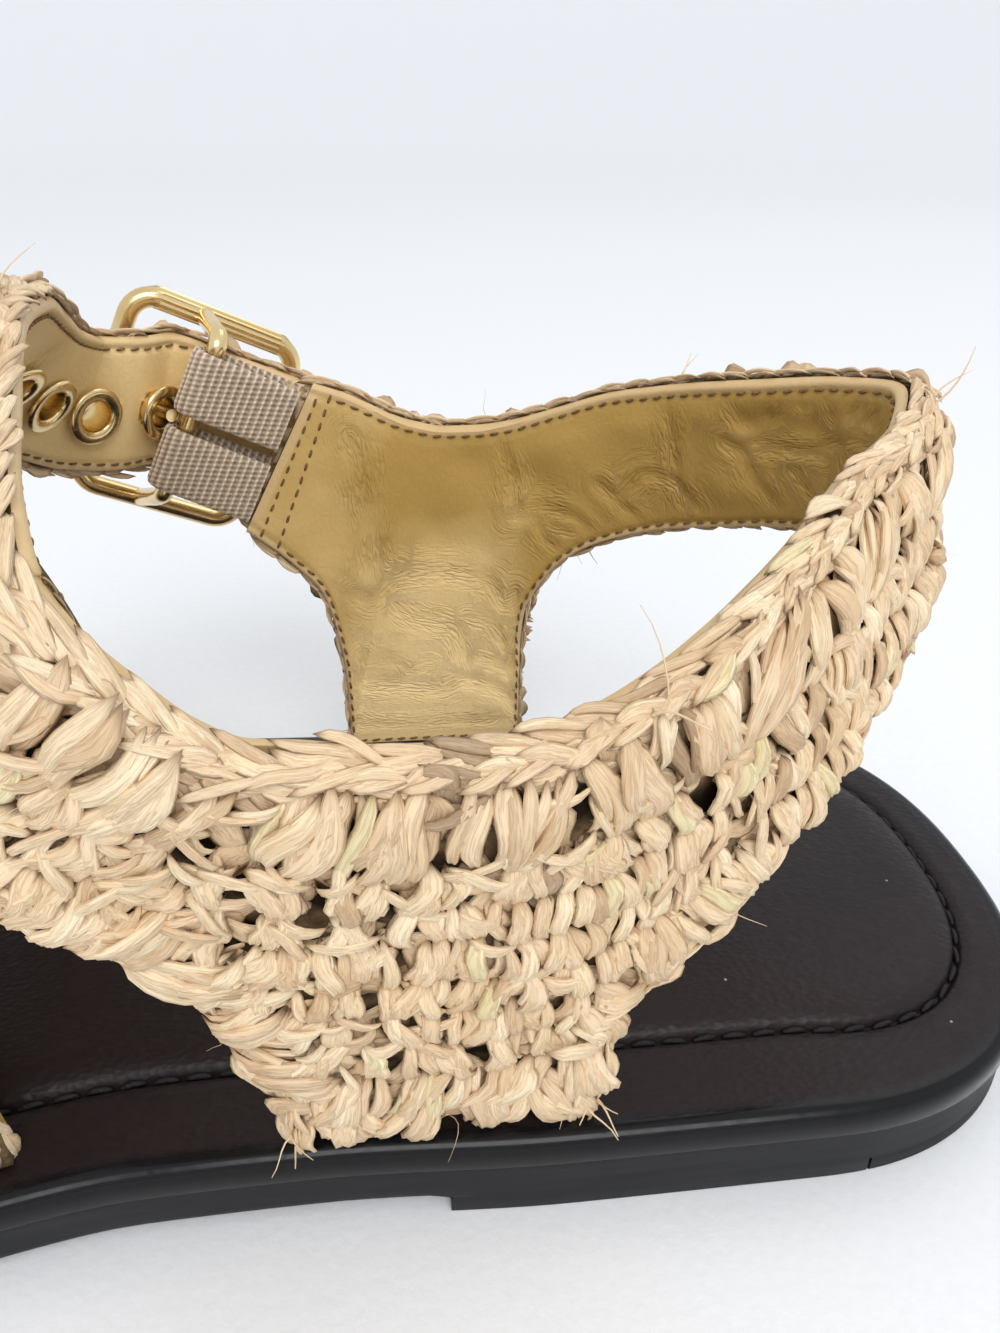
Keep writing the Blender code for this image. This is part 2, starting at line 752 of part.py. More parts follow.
def main():
    clear_scene()
    root = bpy.data.objects.new("sandal", None)
    bpy.context.scene.collection.objects.link(root)
    root.location.x = -ORIGIN_X * MM
    outsole(root)
    heel_layer("heel_tip", 0.0, HEEL_TIP_LENGTH, "heel_rubber", root)
    heel_layer("heel_lift", HEEL_TIP_LENGTH + GAP, HEEL_BREAST, "charcoal_sole", root)
    footbed(root)
    strap = quarter_and_strap(root)
    vamp(root)
    half = ELASTIC_WIDTH / 2
    elastic("elastic_lower", -half, -ELASTIC_SLIT / 2, root)
    elastic("elastic_upper", ELASTIC_SLIT / 2, half, root)
    buckle_frame(root)
    eyelets(strap, root)
    buckle_prong(root)
    bpy.context.view_layer.update()


main()
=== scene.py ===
import json
import math

import bmesh
import bpy
import numpy as np
from mathutils import Matrix, Vector
from mathutils.kdtree import KDTree

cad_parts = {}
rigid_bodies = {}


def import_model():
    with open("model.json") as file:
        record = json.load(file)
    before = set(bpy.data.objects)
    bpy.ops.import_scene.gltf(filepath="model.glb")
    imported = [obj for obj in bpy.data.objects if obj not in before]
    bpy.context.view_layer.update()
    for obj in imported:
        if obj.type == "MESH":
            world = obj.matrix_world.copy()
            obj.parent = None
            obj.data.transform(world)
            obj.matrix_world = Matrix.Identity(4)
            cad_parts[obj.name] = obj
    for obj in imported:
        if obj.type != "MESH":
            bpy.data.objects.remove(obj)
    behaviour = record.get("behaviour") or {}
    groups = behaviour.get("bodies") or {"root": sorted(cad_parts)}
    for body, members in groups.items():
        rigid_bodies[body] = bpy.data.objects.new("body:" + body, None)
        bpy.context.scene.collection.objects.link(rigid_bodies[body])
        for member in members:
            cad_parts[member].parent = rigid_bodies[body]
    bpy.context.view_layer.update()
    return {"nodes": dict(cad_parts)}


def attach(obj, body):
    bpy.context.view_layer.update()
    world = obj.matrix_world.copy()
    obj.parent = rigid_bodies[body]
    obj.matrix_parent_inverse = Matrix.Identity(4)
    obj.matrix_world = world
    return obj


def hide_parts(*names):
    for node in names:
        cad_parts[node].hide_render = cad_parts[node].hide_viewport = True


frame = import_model()
print("frame loaded with", len(frame["nodes"]), "nodes")

mm = 0.001
heelShift = np.array((32.0, 0.0, 0.0))  # tables start at the back of the heel, the origin lies under it
dice = np.random.default_rng(7)         # one seed for every lean, swell and tone
white = (1.0, 1.0, 1.0)


def unit(v):
    return v / np.maximum(np.linalg.norm(v, axis=-1, keepdims=True), 1e-9)


def toWorld(points):
    return (np.asarray(points, float) - heelShift) * mm


def circle(sides):
    return np.linspace(0.0, 2 * math.pi, sides + 1)[:-1]


# distance walked along a line, at each of its points
def walked(points):
    return np.concatenate(([0.0], np.cumsum(np.linalg.norm(np.diff(points, axis=0), axis=1))))


# smooth values between the rows of a table, at fractional row numbers, without overshoot
def along(rows, t):
    rows = np.asarray(rows, float)
    step = np.diff(rows, axis=0)
    same = step[:-1] * step[1:] > 0
    slope = np.vstack((step[:1], np.zeros_like(step[1:]), step[-1:]))
    total = np.where(same, step[:-1] + step[1:], 1.0)
    slope[1:-1] = np.where(same, 2.0 * step[:-1] * step[1:] / total, 0.0)
    t = np.asarray(t, float)
    k = np.clip(t.astype(int), 0, len(rows) - 2)
    f = (t - k)[..., None]
    a, b, sa, sb = rows[k], rows[k + 1], slope[k], slope[k + 1]
    h = b - a
    return a + f * (sa + f * (3 * h - 2 * sa - sb + f * (sa + sb - 2 * h)))


def scaled(colour, share):
    return tuple(share * c for c in colour)


# an input takes a value, or a link from an output
def give(tree, socket, value):
    if isinstance(value, bpy.types.NodeSocket):
        tree.links.new(value, socket)
    else:
        socket.default_value = value


def addNode(tree, kind, inputs=(), **settings):
    made = tree.nodes.new(kind)
    for key, value in settings.items():
        setattr(made, key, value)
    for key, value in dict(inputs).items():
        give(tree, made.inputs[key], value)
    return made.outputs


# One material: its tree, its shader and short calls that add nodes
class Finish:
    def __init__(self, name, roughness, metallic=0.0, specular=0.5):
        self.material = bpy.data.materials.new(name)
        self.material.use_nodes = True
        self.tree = self.material.node_tree
        self.shader = self.tree.nodes["Principled BSDF"]
        for socket, value in (("Roughness", roughness), ("Metallic", metallic),
                              ("Specular IOR Level", specular)):
            self.shader.inputs[socket].default_value = value

    def node(self, kind, inputs=(), **settings):
        return addNode(self.tree, kind, inputs, **settings)

    def attribute(self, name, output="Fac"):
        return self.node("ShaderNodeAttribute", attribute_name=name)[output]

    def place(self, scale=white):
        here = self.node("ShaderNodeTexCoord")["Object"]
        return self.node("ShaderNodeMapping", {"Scale": scale, "Vector": here})["Vector"]

    def split(self, vector):
        return self.node("ShaderNodeSeparateXYZ", {"Vector": vector})

    def vector(self, x, y, z=0.0):
        return self.node("ShaderNodeCombineXYZ", {"X": x, "Y": y, "Z": z})["Vector"]

    def noise(self, vector, scale, detail=3.0, rough=0.55):
        inputs = {"Vector": vector, "Scale": scale, "Detail": detail, "Roughness": rough}
        return self.node("ShaderNodeTexNoise", inputs)["Fac"]

    def cells(self, vector, scale, feature="F1"):
        return self.node("ShaderNodeTexVoronoi", {"Vector": vector, "Scale": scale},
                         feature=feature)["Distance"]

    def ramp(self, factor, stops):
        made = self.tree.nodes.new("ShaderNodeValToRGB")
        band = made.color_ramp
        while len(band.elements) < len(stops):
            band.elements.new(0.5)
        for element, (at, colour) in zip(band.elements, stops):
            element.position = at
            element.color = (*colour, 1.0)
        give(self.tree, made.inputs["Fac"], factor)
        return made.outputs["Color"]

    def grey(self, factor, low, high, bottom=0.0, top=1.0):
        inputs = {"Value": factor, "From Min": low, "From Max": high, "To Min": bottom, "To Max": top}
        return self.node("ShaderNodeMapRange", inputs)["Result"]

    def mixed(self, a, b, factor, how="MIX"):
        a, b = (c if isinstance(c, bpy.types.NodeSocket) else (*c, 1.0) for c in (a, b))
        return self.node("ShaderNodeMix", {0: factor, 6: a, 7: b}, data_type="RGBA", blend_type=how)[2]

    def tinted(self, colour, factor, stops, amount):
        return self.mixed(colour, self.ramp(factor, stops), amount, "MULTIPLY")

    def maths(self, how, a, b=0.0):
        return self.node("ShaderNodeMath", {0: a, 1: b}, operation=how)[0]

    def times(self, a, b):
        return self.maths("MULTIPLY", a, b)

    def offMiddle(self, value):
        return self.maths("ABSOLUTE", self.maths("SUBTRACT", value, 0.5))

    def bumped(self, height, strength, depth, under=None):
        inputs = {"Height": height, "Strength": strength, "Distance": depth}
        return self.node("ShaderNodeBump", inputs | ({"Normal": under} if under else {}))["Normal"]

    def finish(self, colour, normal, roughness=None):
        for socket, value in (("Base Color", colour), ("Normal", normal), ("Roughness", roughness)):
            if value:
                give(self.tree, self.shader.inputs[socket], value)
        return self.material


# Raffia: pale straw with fine lines along every strand, with painted shade at the ends of each leaf, where it
# dives under its neighbours
raffia = {
    "tones": ((0.0, (0.20, 0.15, 0.11)), (0.05, (0.61, 0.44, 0.27)), (0.3, (0.78, 0.59, 0.385)),
              (0.7, (0.86, 0.685, 0.46)), (0.94, (0.91, 0.76, 0.53)), (1.0, (0.80, 0.70, 0.43))),
    "rootShade": (0.44, 0.28, 0.15), "webShadeColour": (0.27, 0.175, 0.095), "holeShadeColour": (0.012, 0.007, 0.004),
}


def raffiaMaterial():
    f = Finish("raffiaStraw", 0.55, specular=0.35)
    tone = f.attribute("tone")
    leaf = f.split(f.node("ShaderNodeUVMap", uv_map="UVMap")["UV"])
    lines = f.noise(f.vector(f.times(leaf["X"], 7.0), f.times(leaf["Y"], 1.3), f.times(tone, 91.0)), 1.3)
    fold = f.grey(f.offMiddle(lines), 0.0, 0.05)
    blotch = f.noise(f.place(), 160.0, 2.0)
    colour = f.ramp(tone, raffia["tones"])
    colour = f.tinted(colour, lines, ((0.3, (0.84, 0.76, 0.67)), (0.6, white)), 0.5)
    # painted shade along the fold creases of each leaf
    colour = f.tinted(colour, fold, ((0.0, (0.60, 0.46, 0.34)), (1.0, white)), 0.42)
    colour = f.tinted(colour, blotch, ((0.3, (0.86, 0.78, 0.68)), (0.6, white)), 0.6)
    # painted shade at both ends of each leaf, where it tucks under its neighbours
    colour = f.mixed(colour, raffia["rootShade"], f.grey(f.offMiddle(leaf["Y"]), 0.34, 0.5, 0.0, 0.7))
    height = f.maths("ADD", lines, f.times(fold, 0.3))
    return f.finish(colour, f.bumped(height, 0.42, 0.0005), f.grey(lines, 0.3, 0.7, 0.68, 0.46))


# the web between the strands, painted dark as the shade under them, with darker patches of painted shade,
# darkest in the holes
def coreMaterial():
    f = Finish("raffiaShadow", 0.9, specular=0.1)
    speck = f.noise(f.place(), 700.0)
    patch = f.noise(f.place(), 210.0, 1.0)
    dark = raffia["webShadeColour"]
    colour = f.ramp(speck, ((0.35, scaled(dark, 0.5)), (0.6, dark), (0.8, scaled(dark, 2.0))))
    colour = f.tinted(colour, patch, ((0.36, (0.25, 0.25, 0.25)), (0.46, white)), 1.0)
    # near black painted shade at the holes
    colour = f.mixed(colour, raffia["holeShadeColour"], f.attribute("hole"))
    return f.finish(colour, f.bumped(speck, 0.6, 0.0006))


# Lining: golden tan leather with a low sheen, wrinkled along the folds, paler where the edge is turned, with
# painted light and shade along the wall and painted shade in the wrinkles
tan = {
    "tones": ((0.0, (0.38, 0.225, 0.055)), (0.5, (0.49, 0.308, 0.082)), (1.0, (1.0, 0.745, 0.365))),
    "edgeColour": (0.64, 0.45, 0.225), "edgeWide": 0.85,
}


def liningMaterial():
    f = Finish("tanLining", 0.45, specular=0.4)
    here = f.place()
    fold = f.split(f.attribute("fold", "Vector"))
    wave = f.noise(f.vector(f.times(fold["X"], 0.42), f.times(fold["Y"], 1.9)), 1.0, 1.0, 0.5)
    wrinkle = f.grey(f.offMiddle(wave), 0.0, 0.13, 1.0, 0.0)
    broken = f.grey(f.noise(here, 230.0, 2.0), 0.38, 0.6, 0.12, 1.0)  # creases come and go
    wrinkle = f.times(f.times(wrinkle, fold["Z"]), broken)
    cloud = f.noise(here, 60.0)
    skin = f.cells(f.place((1.0, 1.0, 0.7)), 1150.0, "DISTANCE_TO_EDGE")
    crackle = f.grey(skin, 0.0, 0.13, 1.0, 0.0)
    # painted light and shade from the table along the wall, with a random cloudy tone
    shade = f.maths("ADD", f.attribute("pale"), f.grey(cloud, 0.3, 0.7, -0.13, 0.13))
    colour = f.ramp(shade, tan["tones"])
    colour = f.tinted(colour, crackle, ((0.0, white), (1.0, (0.80, 0.72, 0.60))), 0.10)
    # painted shade in the wrinkles
    colour = f.tinted(colour, wrinkle, ((0.0, white), (1.0, (0.66, 0.56, 0.42))), 0.24)
    turned = f.grey(f.attribute("edge"), tan["edgeWide"], tan["edgeWide"] + 0.25, 0.85, 0.0)
    colour = f.mixed(colour, tan["edgeColour"], turned)
    grain = f.bumped(f.cells(here, 1500.0), 0.10, 0.0002)
    fine = f.bumped(f.times(crackle, -1.0), 0.10, 0.0002, grain)
    creased = f.bumped(f.times(wrinkle, -1.0), 0.45, 0.0004, fine)
    return f.finish(colour, creased, f.grey(cloud, 0.3, 0.7, 0.5, 0.38))


# Footbed: espresso leather, fine pebble, a little dust, glossy black at the rolled edge
def footbedMaterial():
    f = Finish("espressoLeather", 0.4, specular=0.22)
    here = f.place()
    edge = f.attribute("rolled")
    soft = f.noise(here, 900.0)
    dust = f.grey(f.cells(here, 190.0), 0.022, 0.03, 0.7, 0.0)
    colour = f.ramp(f.noise(here, 38.0, 4.0),
                    ((0.3, (0.0105, 0.0060, 0.0062)), (0.7, (0.0185, 0.0110, 0.0112))))
    colour = f.mixed(colour, (0.45, 0.42, 0.40), dust)
    colour = f.mixed(colour, (0.006, 0.006, 0.007), edge)
    rough = f.maths("SUBTRACT", f.grey(soft, 0.3, 0.7, 0.36, 0.5), f.times(edge, 0.24))
    plain = f.maths("SUBTRACT", 1.0, edge)
    grain = f.bumped(f.times(f.cells(f.place((1.0, 1.6, 1.0)), 1150.0), plain), 0.28, 0.00025)
    return f.finish(colour, f.bumped(f.times(soft, plain), 0.12, 0.0003, grain), rough)


# Sole wall: charcoal edge paint with faint streaks along the sole
def soleMaterial(name, base, roughness):
    f = Finish(name, roughness, specular=0.22)
    streak = f.noise(f.place((0.06, 0.06, 1.0)), 900.0, 4.0)
    cloud = f.noise(f.place(), 70.0)
    colour = f.ramp(streak, ((0.3, scaled(base, 0.72)), (0.55, base), (0.75, scaled(base, 1.35))))
    colour = f.tinted(colour, cloud, ((0.35, (0.8, 0.8, 0.82)), (0.65, (1.1, 1.1, 1.1))), 0.7)
    rough = f.grey(cloud, 0.3, 0.7, roughness - 0.08, roughness + 0.1)
    return f.finish(colour, f.bumped(streak, 0.12, 0.0003), rough)


def threadMaterial(name, base):
    f = Finish(name, 0.7, specular=0.3)
    twist = f.noise(f.place(), 2600.0, 2.0)
    colour = f.ramp(twist, ((0.3, scaled(base, 0.55)), (0.7, scaled(base, 1.3))))
    return f.finish(colour, f.bumped(twist, 0.5, 0.0002))


# Elastic: taupe webbing with beaded ribs, half a bead on from rib to rib, in millimetres
elastic = {
    "thick": 1.0, "slit": 2.0, "width": 17.0, "rib": 0.85, "bead": 0.62, "ribDepth": 0.16, "across": 14,
}


def elasticMaterial():
    f = Finish("taupeElastic", 0.75, specular=0.25)
    lie = f.split(f.attribute("lie", "Vector"))
    stagger = f.times(lie["X"], math.pi / elastic["rib"])
    bead = f.maths("SINE", f.maths("ADD", f.times(lie["Y"], 2 * math.pi / elastic["bead"]), stagger))
    rib = f.maths("COSINE", f.times(lie["X"], 2 * math.pi / elastic["rib"]))
    weave = f.maths("ADD", f.times(bead, 0.32), rib)
    tones = ((0.0, (0.24, 0.17, 0.12)), (0.4, (0.62, 0.485, 0.36)), (1.0, (0.84, 0.70, 0.54)))
    # colour follows the weave's relief: the webbing's own pattern, and painted shade in the grooves between
    # ribs and beads
    colour = f.ramp(f.grey(weave, -1.5, 1.3), tones)
    fuzz = f.noise(f.place(), 2200.0)
    colour = f.tinted(colour, fuzz, ((0.3, (0.75, 0.75, 0.75)), (0.6, white)), 0.6)
    return f.finish(colour, f.bumped(weave, 0.6, 0.0003))


def goldMaterial():
    f = Finish("paleGold", 0.2, 1.0)
    scratch = f.noise(f.place((0.2, 1.0, 1.0)), 1600.0, 4.0, 0.7)
    colour = f.ramp(f.noise(f.place(), 120.0, 2.0), ((0.3, (0.72, 0.52, 0.24)), (0.7, (0.88, 0.70, 0.38))))
    return f.finish(colour, f.bumped(scratch, 0.04, 0.0001), f.grey(scratch, 0.3, 0.7, 0.14, 0.3))


finishes = {
    "straw": raffiaMaterial(),
    "shadow": coreMaterial(),
    "lining": liningMaterial(),
    "footbed": footbedMaterial(),
    "wall": soleMaterial("charcoalWall", (0.017, 0.017, 0.019), 0.5),
    "rubber": soleMaterial("heelRubber", (0.013, 0.013, 0.015), 0.62),
    "sewing": threadMaterial("brownThread", (0.19, 0.105, 0.034)),
    "blackSewing": threadMaterial("blackThread", (0.012, 0.010, 0.010)),
    "elastic": elasticMaterial(),
    "gold": goldMaterial(),
}
print("finishes made:", len(finishes))


# Meshes and pieces
def dress(piece, nodes=()):
    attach(piece, "root")
    if nodes:
        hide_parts(*nodes)
    piece.data.calc_loop_triangles()
    print("piece", piece.name, len(piece.data.loop_triangles), "triangles")
    return piece


# values on a mesh's points: whole numbers, numbers or vectors
def addFact(mesh, name, values):
    values = np.asarray(values)
    kind = "INT" if values.dtype.kind == "i" else "FLOAT" if values.ndim == 1 else "FLOAT_VECTOR"
    layer = mesh.attributes.new(name, kind, "POINT")
    flat = values.astype(np.int32 if kind == "INT" else np.float32).ravel()
    layer.data.foreach_set("vector" if kind == "FLOAT_VECTOR" else "value", flat)


def facedOut(mesh):
    work = bmesh.new()
    work.from_mesh(mesh)
    bmesh.ops.recalc_face_normals(work, faces=work.faces)
    work.to_mesh(mesh)
    work.free()
    mesh.shade_smooth()


def linked(name, data):
    made = bpy.data.objects.new(name, data)
    bpy.context.scene.collection.objects.link(made)
    return made


def addObject(name, points, faces, finish, sharp=None, facts=()):
    mesh = bpy.data.meshes.new(name)
    mesh.from_pydata(toWorld(points).tolist(), [], faces)
    for fact, values in dict(facts).items():
        addFact(mesh, fact, values)
    facedOut(mesh)
    if sharp:
        mesh.set_sharp_from_angle(angle=math.radians(sharp))
    mesh.materials.append(finishes[finish])
    return linked(name, mesh)


def bakeModifiers(piece):
    bpy.context.view_layer.update()
    graph = bpy.context.evaluated_depsgraph_get()
    result = bpy.data.meshes.new_from_object(piece.evaluated_get(graph))
    piece.modifiers.clear()
    piece.data = result
    return piece


# closed sheet between two grids of points, with the cells that are kept
def slab(inner, outer, kept=None):
    n, m = inner.shape[:2]
    shift = n * m
    points = np.vstack((inner.reshape(-1, 3), outer.reshape(-1, 3)))
    faces = []
    rim = {}
    for i in range(n - 1):
        for j in range(m - 1):
            if kept is not None and not kept[i, j]:
                continue
            a, b = i * m + j, i * m + j + 1
            c, d = b + m, a + m
            faces.append((d, c, b, a))
            faces.append((a + shift, b + shift, c + shift, d + shift))
            for edge in ((a, b), (b, c), (c, d), (d, a)):
                key = (min(edge), max(edge))
                rim[key] = None if key in rim else edge
    faces += [(edge[1], edge[0], edge[0] + shift, edge[1] + shift) for edge in rim.values() if edge]
    used = sorted({v for face in faces for v in face})
    number = {v: k for k, v in enumerate(used)}
    return points[used], [tuple(number[v] for v in face) for face in faces], used


# faces between rings of the same count
def ringFaces(rings, sides, start=0, closed=False):
    faces = []
    for k in range(rings if closed else rings - 1):
        a, b = start + k * sides, start + (k + 1) % rings * sides
        faces += [(a + i, a + (i + 1) % sides, b + (i + 1) % sides, b + i) for i in range(sides)]
    return faces


def endFaces(rings, sides):
    return [tuple(range(sides)), tuple(range((rings - 1) * sides, rings * sides))]


# rings between two tips
def spindleFaces(rings, sides):
    tip, last = 1 + rings * sides, 1 + (rings - 1) * sides
    faces = [(0, 1 + (i + 1) % sides, 1 + i) for i in range(sides)] + ringFaces(rings, sides, 1)
    return faces + [(tip, last + i, last + (i + 1) % sides) for i in range(sides)]


# tube along a path: sections are offsets from it
def tube(path, sections, closed=False):
    n, sides = sections.shape[:2]
    faces = ringFaces(n, sides, closed=closed) + ([] if closed else endFaces(n, sides))
    return (path[:, None, :] + sections).reshape(-1, 3), faces


def joined(parts):
    points, faces, start = [], [], 0
    for some, corners in parts:
        points.append(np.asarray(some, float))
        faces += [tuple(start + v for v in face) for face in corners]
        start += len(some)
    return np.vstack(points), faces


# Sole
sole = {
    "length": 258.0, "heelHalf": 33.0, "heelArc": 30.0, "toeArc": 52.0,
    "heelPower": 2.35, "toePower": 2.15, "toeTipY": 7.0,
    "heelLift": 2.0, "heelBreast": 64.7, "heelTip": 25.0, "seam": 0.3,
    "flat": (135.0, 205.0), "toeSpring": 6.0,
    "outsoleThick": 4.0, "footbedThick": 3.7, "wallInset": 0.5,
    "stations": 150, "across": 14,
    # inset and rise of the outsole's levels, then of the heel layers'
    "levels": ((1.3, 0.0), (0.8, 0.18), (0.56, 0.5), (0.5, 1.0), (0.5, 2.4), (0.5, 4.0)),
    "heelLevels": ((0.9, 0.0), (0.62, 0.1), (0.5, 0.4), (0.5, 2.0)), "heelStations": 41,
}
# distance from the heel, half width inside and outside
outline = np.array((
    (30.0, 33.0, 33.0), (54.0, 32.8, 34.2), (76.0, 31.6, 35.8), (92.0, 31.4, 37.6), (117.0, 35.2, 40.2),
    (140.0, 39.4, 43.0), (165.0, 42.8, 45.6), (185.0, 43.8, 46.4), (206.0, 42.4, 44.6),
))
outlineFine = along(outline, np.linspace(0.0, len(outline) - 1.0, 500))


def halfWidths(x):
    x = np.asarray(x, float)
    sides = []
    for column, tip in ((1, sole["toeTipY"]), (2, -sole["toeTipY"])):
        side = np.interp(x, outlineFine[:, 0], outlineFine[:, column])
        back = np.clip((sole["heelArc"] - x) / sole["heelArc"], 0.0, 1.0) ** sole["heelPower"]
        side = np.where(x < sole["heelArc"], sole["heelHalf"] * (1.0 - back) ** (1 / sole["heelPower"]), side)
        front = np.clip((x - sole["length"] + sole["toeArc"]) / sole["toeArc"], 0.0, 1.0) ** sole["toePower"]
        nose = tip + (outline[-1, column] - tip) * (1.0 - front) ** (1 / sole["toePower"])
        sides.append(np.where(front > 0.0, nose, side))
    return sides


def underside(x):
    x = np.asarray(x, float)
    start, end = sole["flat"]
    waist = np.clip((x - sole["heelBreast"]) / (start - sole["heelBreast"]), 0.0, 1.0)
    toe = np.clip((x - end) / (sole["length"] - end), 0.0, 1.0)
    return sole["heelLift"] * (0.5 + 0.5 * np.cos(math.pi * waist)) + sole["toeSpring"] * toe ** 2


def footbedTop(x):
    return underside(x) + sole["outsoleThick"] + sole["footbedThick"]


def soleRing():
    turn = np.linspace(0.0, math.pi, sole["stations"] + 1)
    x = sole["length"] * (1.0 - np.cos(turn)) / 2
    inner, outer = halfWidths(x)
    return np.vstack((np.column_stack((x, -outer)), np.column_stack((x, inner))[-2:0:-1]))


def pulledIn(ring, distance):
    run = unit(np.roll(ring, -1, 0) - np.roll(ring, 1, 0))
    return ring + np.column_stack((-run[:, 1], run[:, 0])) * np.reshape(distance, (-1, 1))


# stacked rings, closed below and above by strips between the two sides of the ring
def stacked(rings, crown=0.0, crownFade=1.0):
    count, stations, across = len(rings[0]), sole["stations"], sole["across"]
    points = [p for ring in rings for p in ring]
    faces = ringFaces(len(rings), count)
    for i in range(stations):
        faces.append(tuple(dict.fromkeys((i, i + 1, count - i - 1, (count - i) % count))))
    upper = np.asarray(rings[-1])
    top = (len(rings) - 1) * count
    ends = upper[[0, stations]]
    rows = []
    for i in range(stations + 1):
        left, right = upper[i], upper[(count - i) % count]
        if i in (0, stations):
            rows.append([top + i] * (across + 1))
            continue
        row = [top + i]
        fade = min(1.0, np.linalg.norm(ends - (left + right) / 2, axis=1).min() / crownFade)
        rise = crown * fade ** 2 * (3 - 2 * fade)  # the crown dies away at toe and heel
        for s in np.arange(1, across) / across:
            row.append(len(points))
            points.append(left * (1 - s) + right * s + (0.0, 0.0, rise * (4 * s * (1 - s)) ** 0.7))
        rows.append(row + [top + count - i])
    for back, ahead in zip(rows, rows[1:]):
        for j in range(across):
            face = tuple(dict.fromkeys((back[j], ahead[j], ahead[j + 1], back[j + 1])))
            if len(face) > 2:
                faces.append(face)
    return np.array(points), faces


def buildOutsole():
    ring = soleRing()
    rings = []
    for inset, rise in sole["levels"]:
        line = pulledIn(ring, np.where(ring[:, 0] < sole["heelBreast"], sole["wallInset"], inset))
        rings.append(np.column_stack((line, underside(line[:, 0]) + rise)))
    piece = addObject("outsole_edge", *stacked(rings), "wall", 50)
    dress(piece, ("outsole",))


def buildHeelLayer(name, first, last, finish, node):
    spread = np.linspace(0.0, 1.0, sole["heelStations"])
    if first == 0.0:  # closer stations round the back
        spread = 1.0 - np.cos(spread * math.pi / 2)
    rings = []
    for inset, z in sole["heelLevels"]:
        line = pulledIn(soleRing(), inset)
        outer, inner = line[:sole["stations"] + 1], np.vstack((line[sole["stations"]:], line[:1]))[::-1]
        start = max(first, line[0, 0])
        x = start + (last - start) * spread
        near = np.column_stack((x, np.interp(x, *outer.T)))
        far = np.column_stack((x, np.interp(x, *inner.T)))[::-1]
        ring = np.vstack((near, far[:-1] if first == 0.0 else far))  # the round back has one point at its end
        rings.append(np.column_stack((ring, np.full(len(ring), z))))
    count = len(rings[0])
    faces = ringFaces(len(rings), count) + endFaces(len(rings), count)
    dress(addObject(name, np.vstack(rings), faces, finish, 45), (node,))


footbed = {
    "edgeRound": 1.5, "padInset": 10.0, "padBack": 6.3, "grooveWidth": 1.6, "grooveDepth": 0.7,
    "crown": 0.45, "crownFade": 22.0, "stitchPitch": 3.0, "stitchLength": 2.5, "stitchWidth": 0.62,
}


def padInset(x):
    share = np.clip(np.asarray(x) / sole["heelArc"], 0.0, 1.0)
    return footbed["padBack"] + (footbed["padInset"] - footbed["padBack"]) * share


def buildFootbed():
    ring = soleRing()
    r, half, deep = footbed["edgeRound"], footbed["grooveWidth"] / 2, footbed["grooveDepth"]
    foot = sole["seam"] - sole["footbedThick"]
    # levels: inset, whether it counts from the groove, rise
    levels = [(0.4, 0, foot), (0.12, 0, foot + 0.12), (0.0, 0, foot + 0.4), (0.0, 0, -r - 0.2)]
    levels += [(r * (1 - math.cos(a)), 0, -r * (1 - math.sin(a)))
               for a in np.radians((15, 30, 45, 60, 75, 90))]
    levels += [(2.3, 0, 0.0), (-half - 1.2, 1, 0.03), (-half, 1, 0.0), (-half * 0.55, 1, -0.3),
               (-half * 0.2, 1, -deep), (half * 0.2, 1, -deep), (half * 0.5, 1, 0.1), (half, 1, 0.5),
               (half + 0.8, 1, 0.82), (half + 1.8, 1, 1.08), (half + 3.0, 1, 1.24), (half + 4.2, 1, 1.3)]
    rings, rolled = [], []
    for inset, fromGroove, rise in levels:
        line = pulledIn(ring, inset + (padInset(ring[:, 0]) if fromGroove else 0.0))
        rings.append(np.column_stack((line, footbedTop(line[:, 0]) + rise)))
        dark = 0.0 if fromGroove or inset > 2.0 else 0.45 if inset == r else 1.0
        rolled.append(np.full(len(line), dark))
    points, faces = stacked(rings, footbed["crown"], footbed["crownFade"])
    dark = np.zeros(len(points))
    dark[:len(rings) * len(ring)] = np.concatenate(rolled)
    piece = addObject("footbed_pad", points, faces, "footbed", 55, {"rolled": dark})
    dress(piece, ("footbed",))


buildOutsole()
buildHeelLayer("heel_tip_rubber", 0.0, sole["heelTip"], "rubber", "heel_tip")
buildHeelLayer("heel_lift_layer", sole["heelTip"] + sole["seam"], sole["heelBreast"],
               "wall", "heel_lift")
buildFootbed()


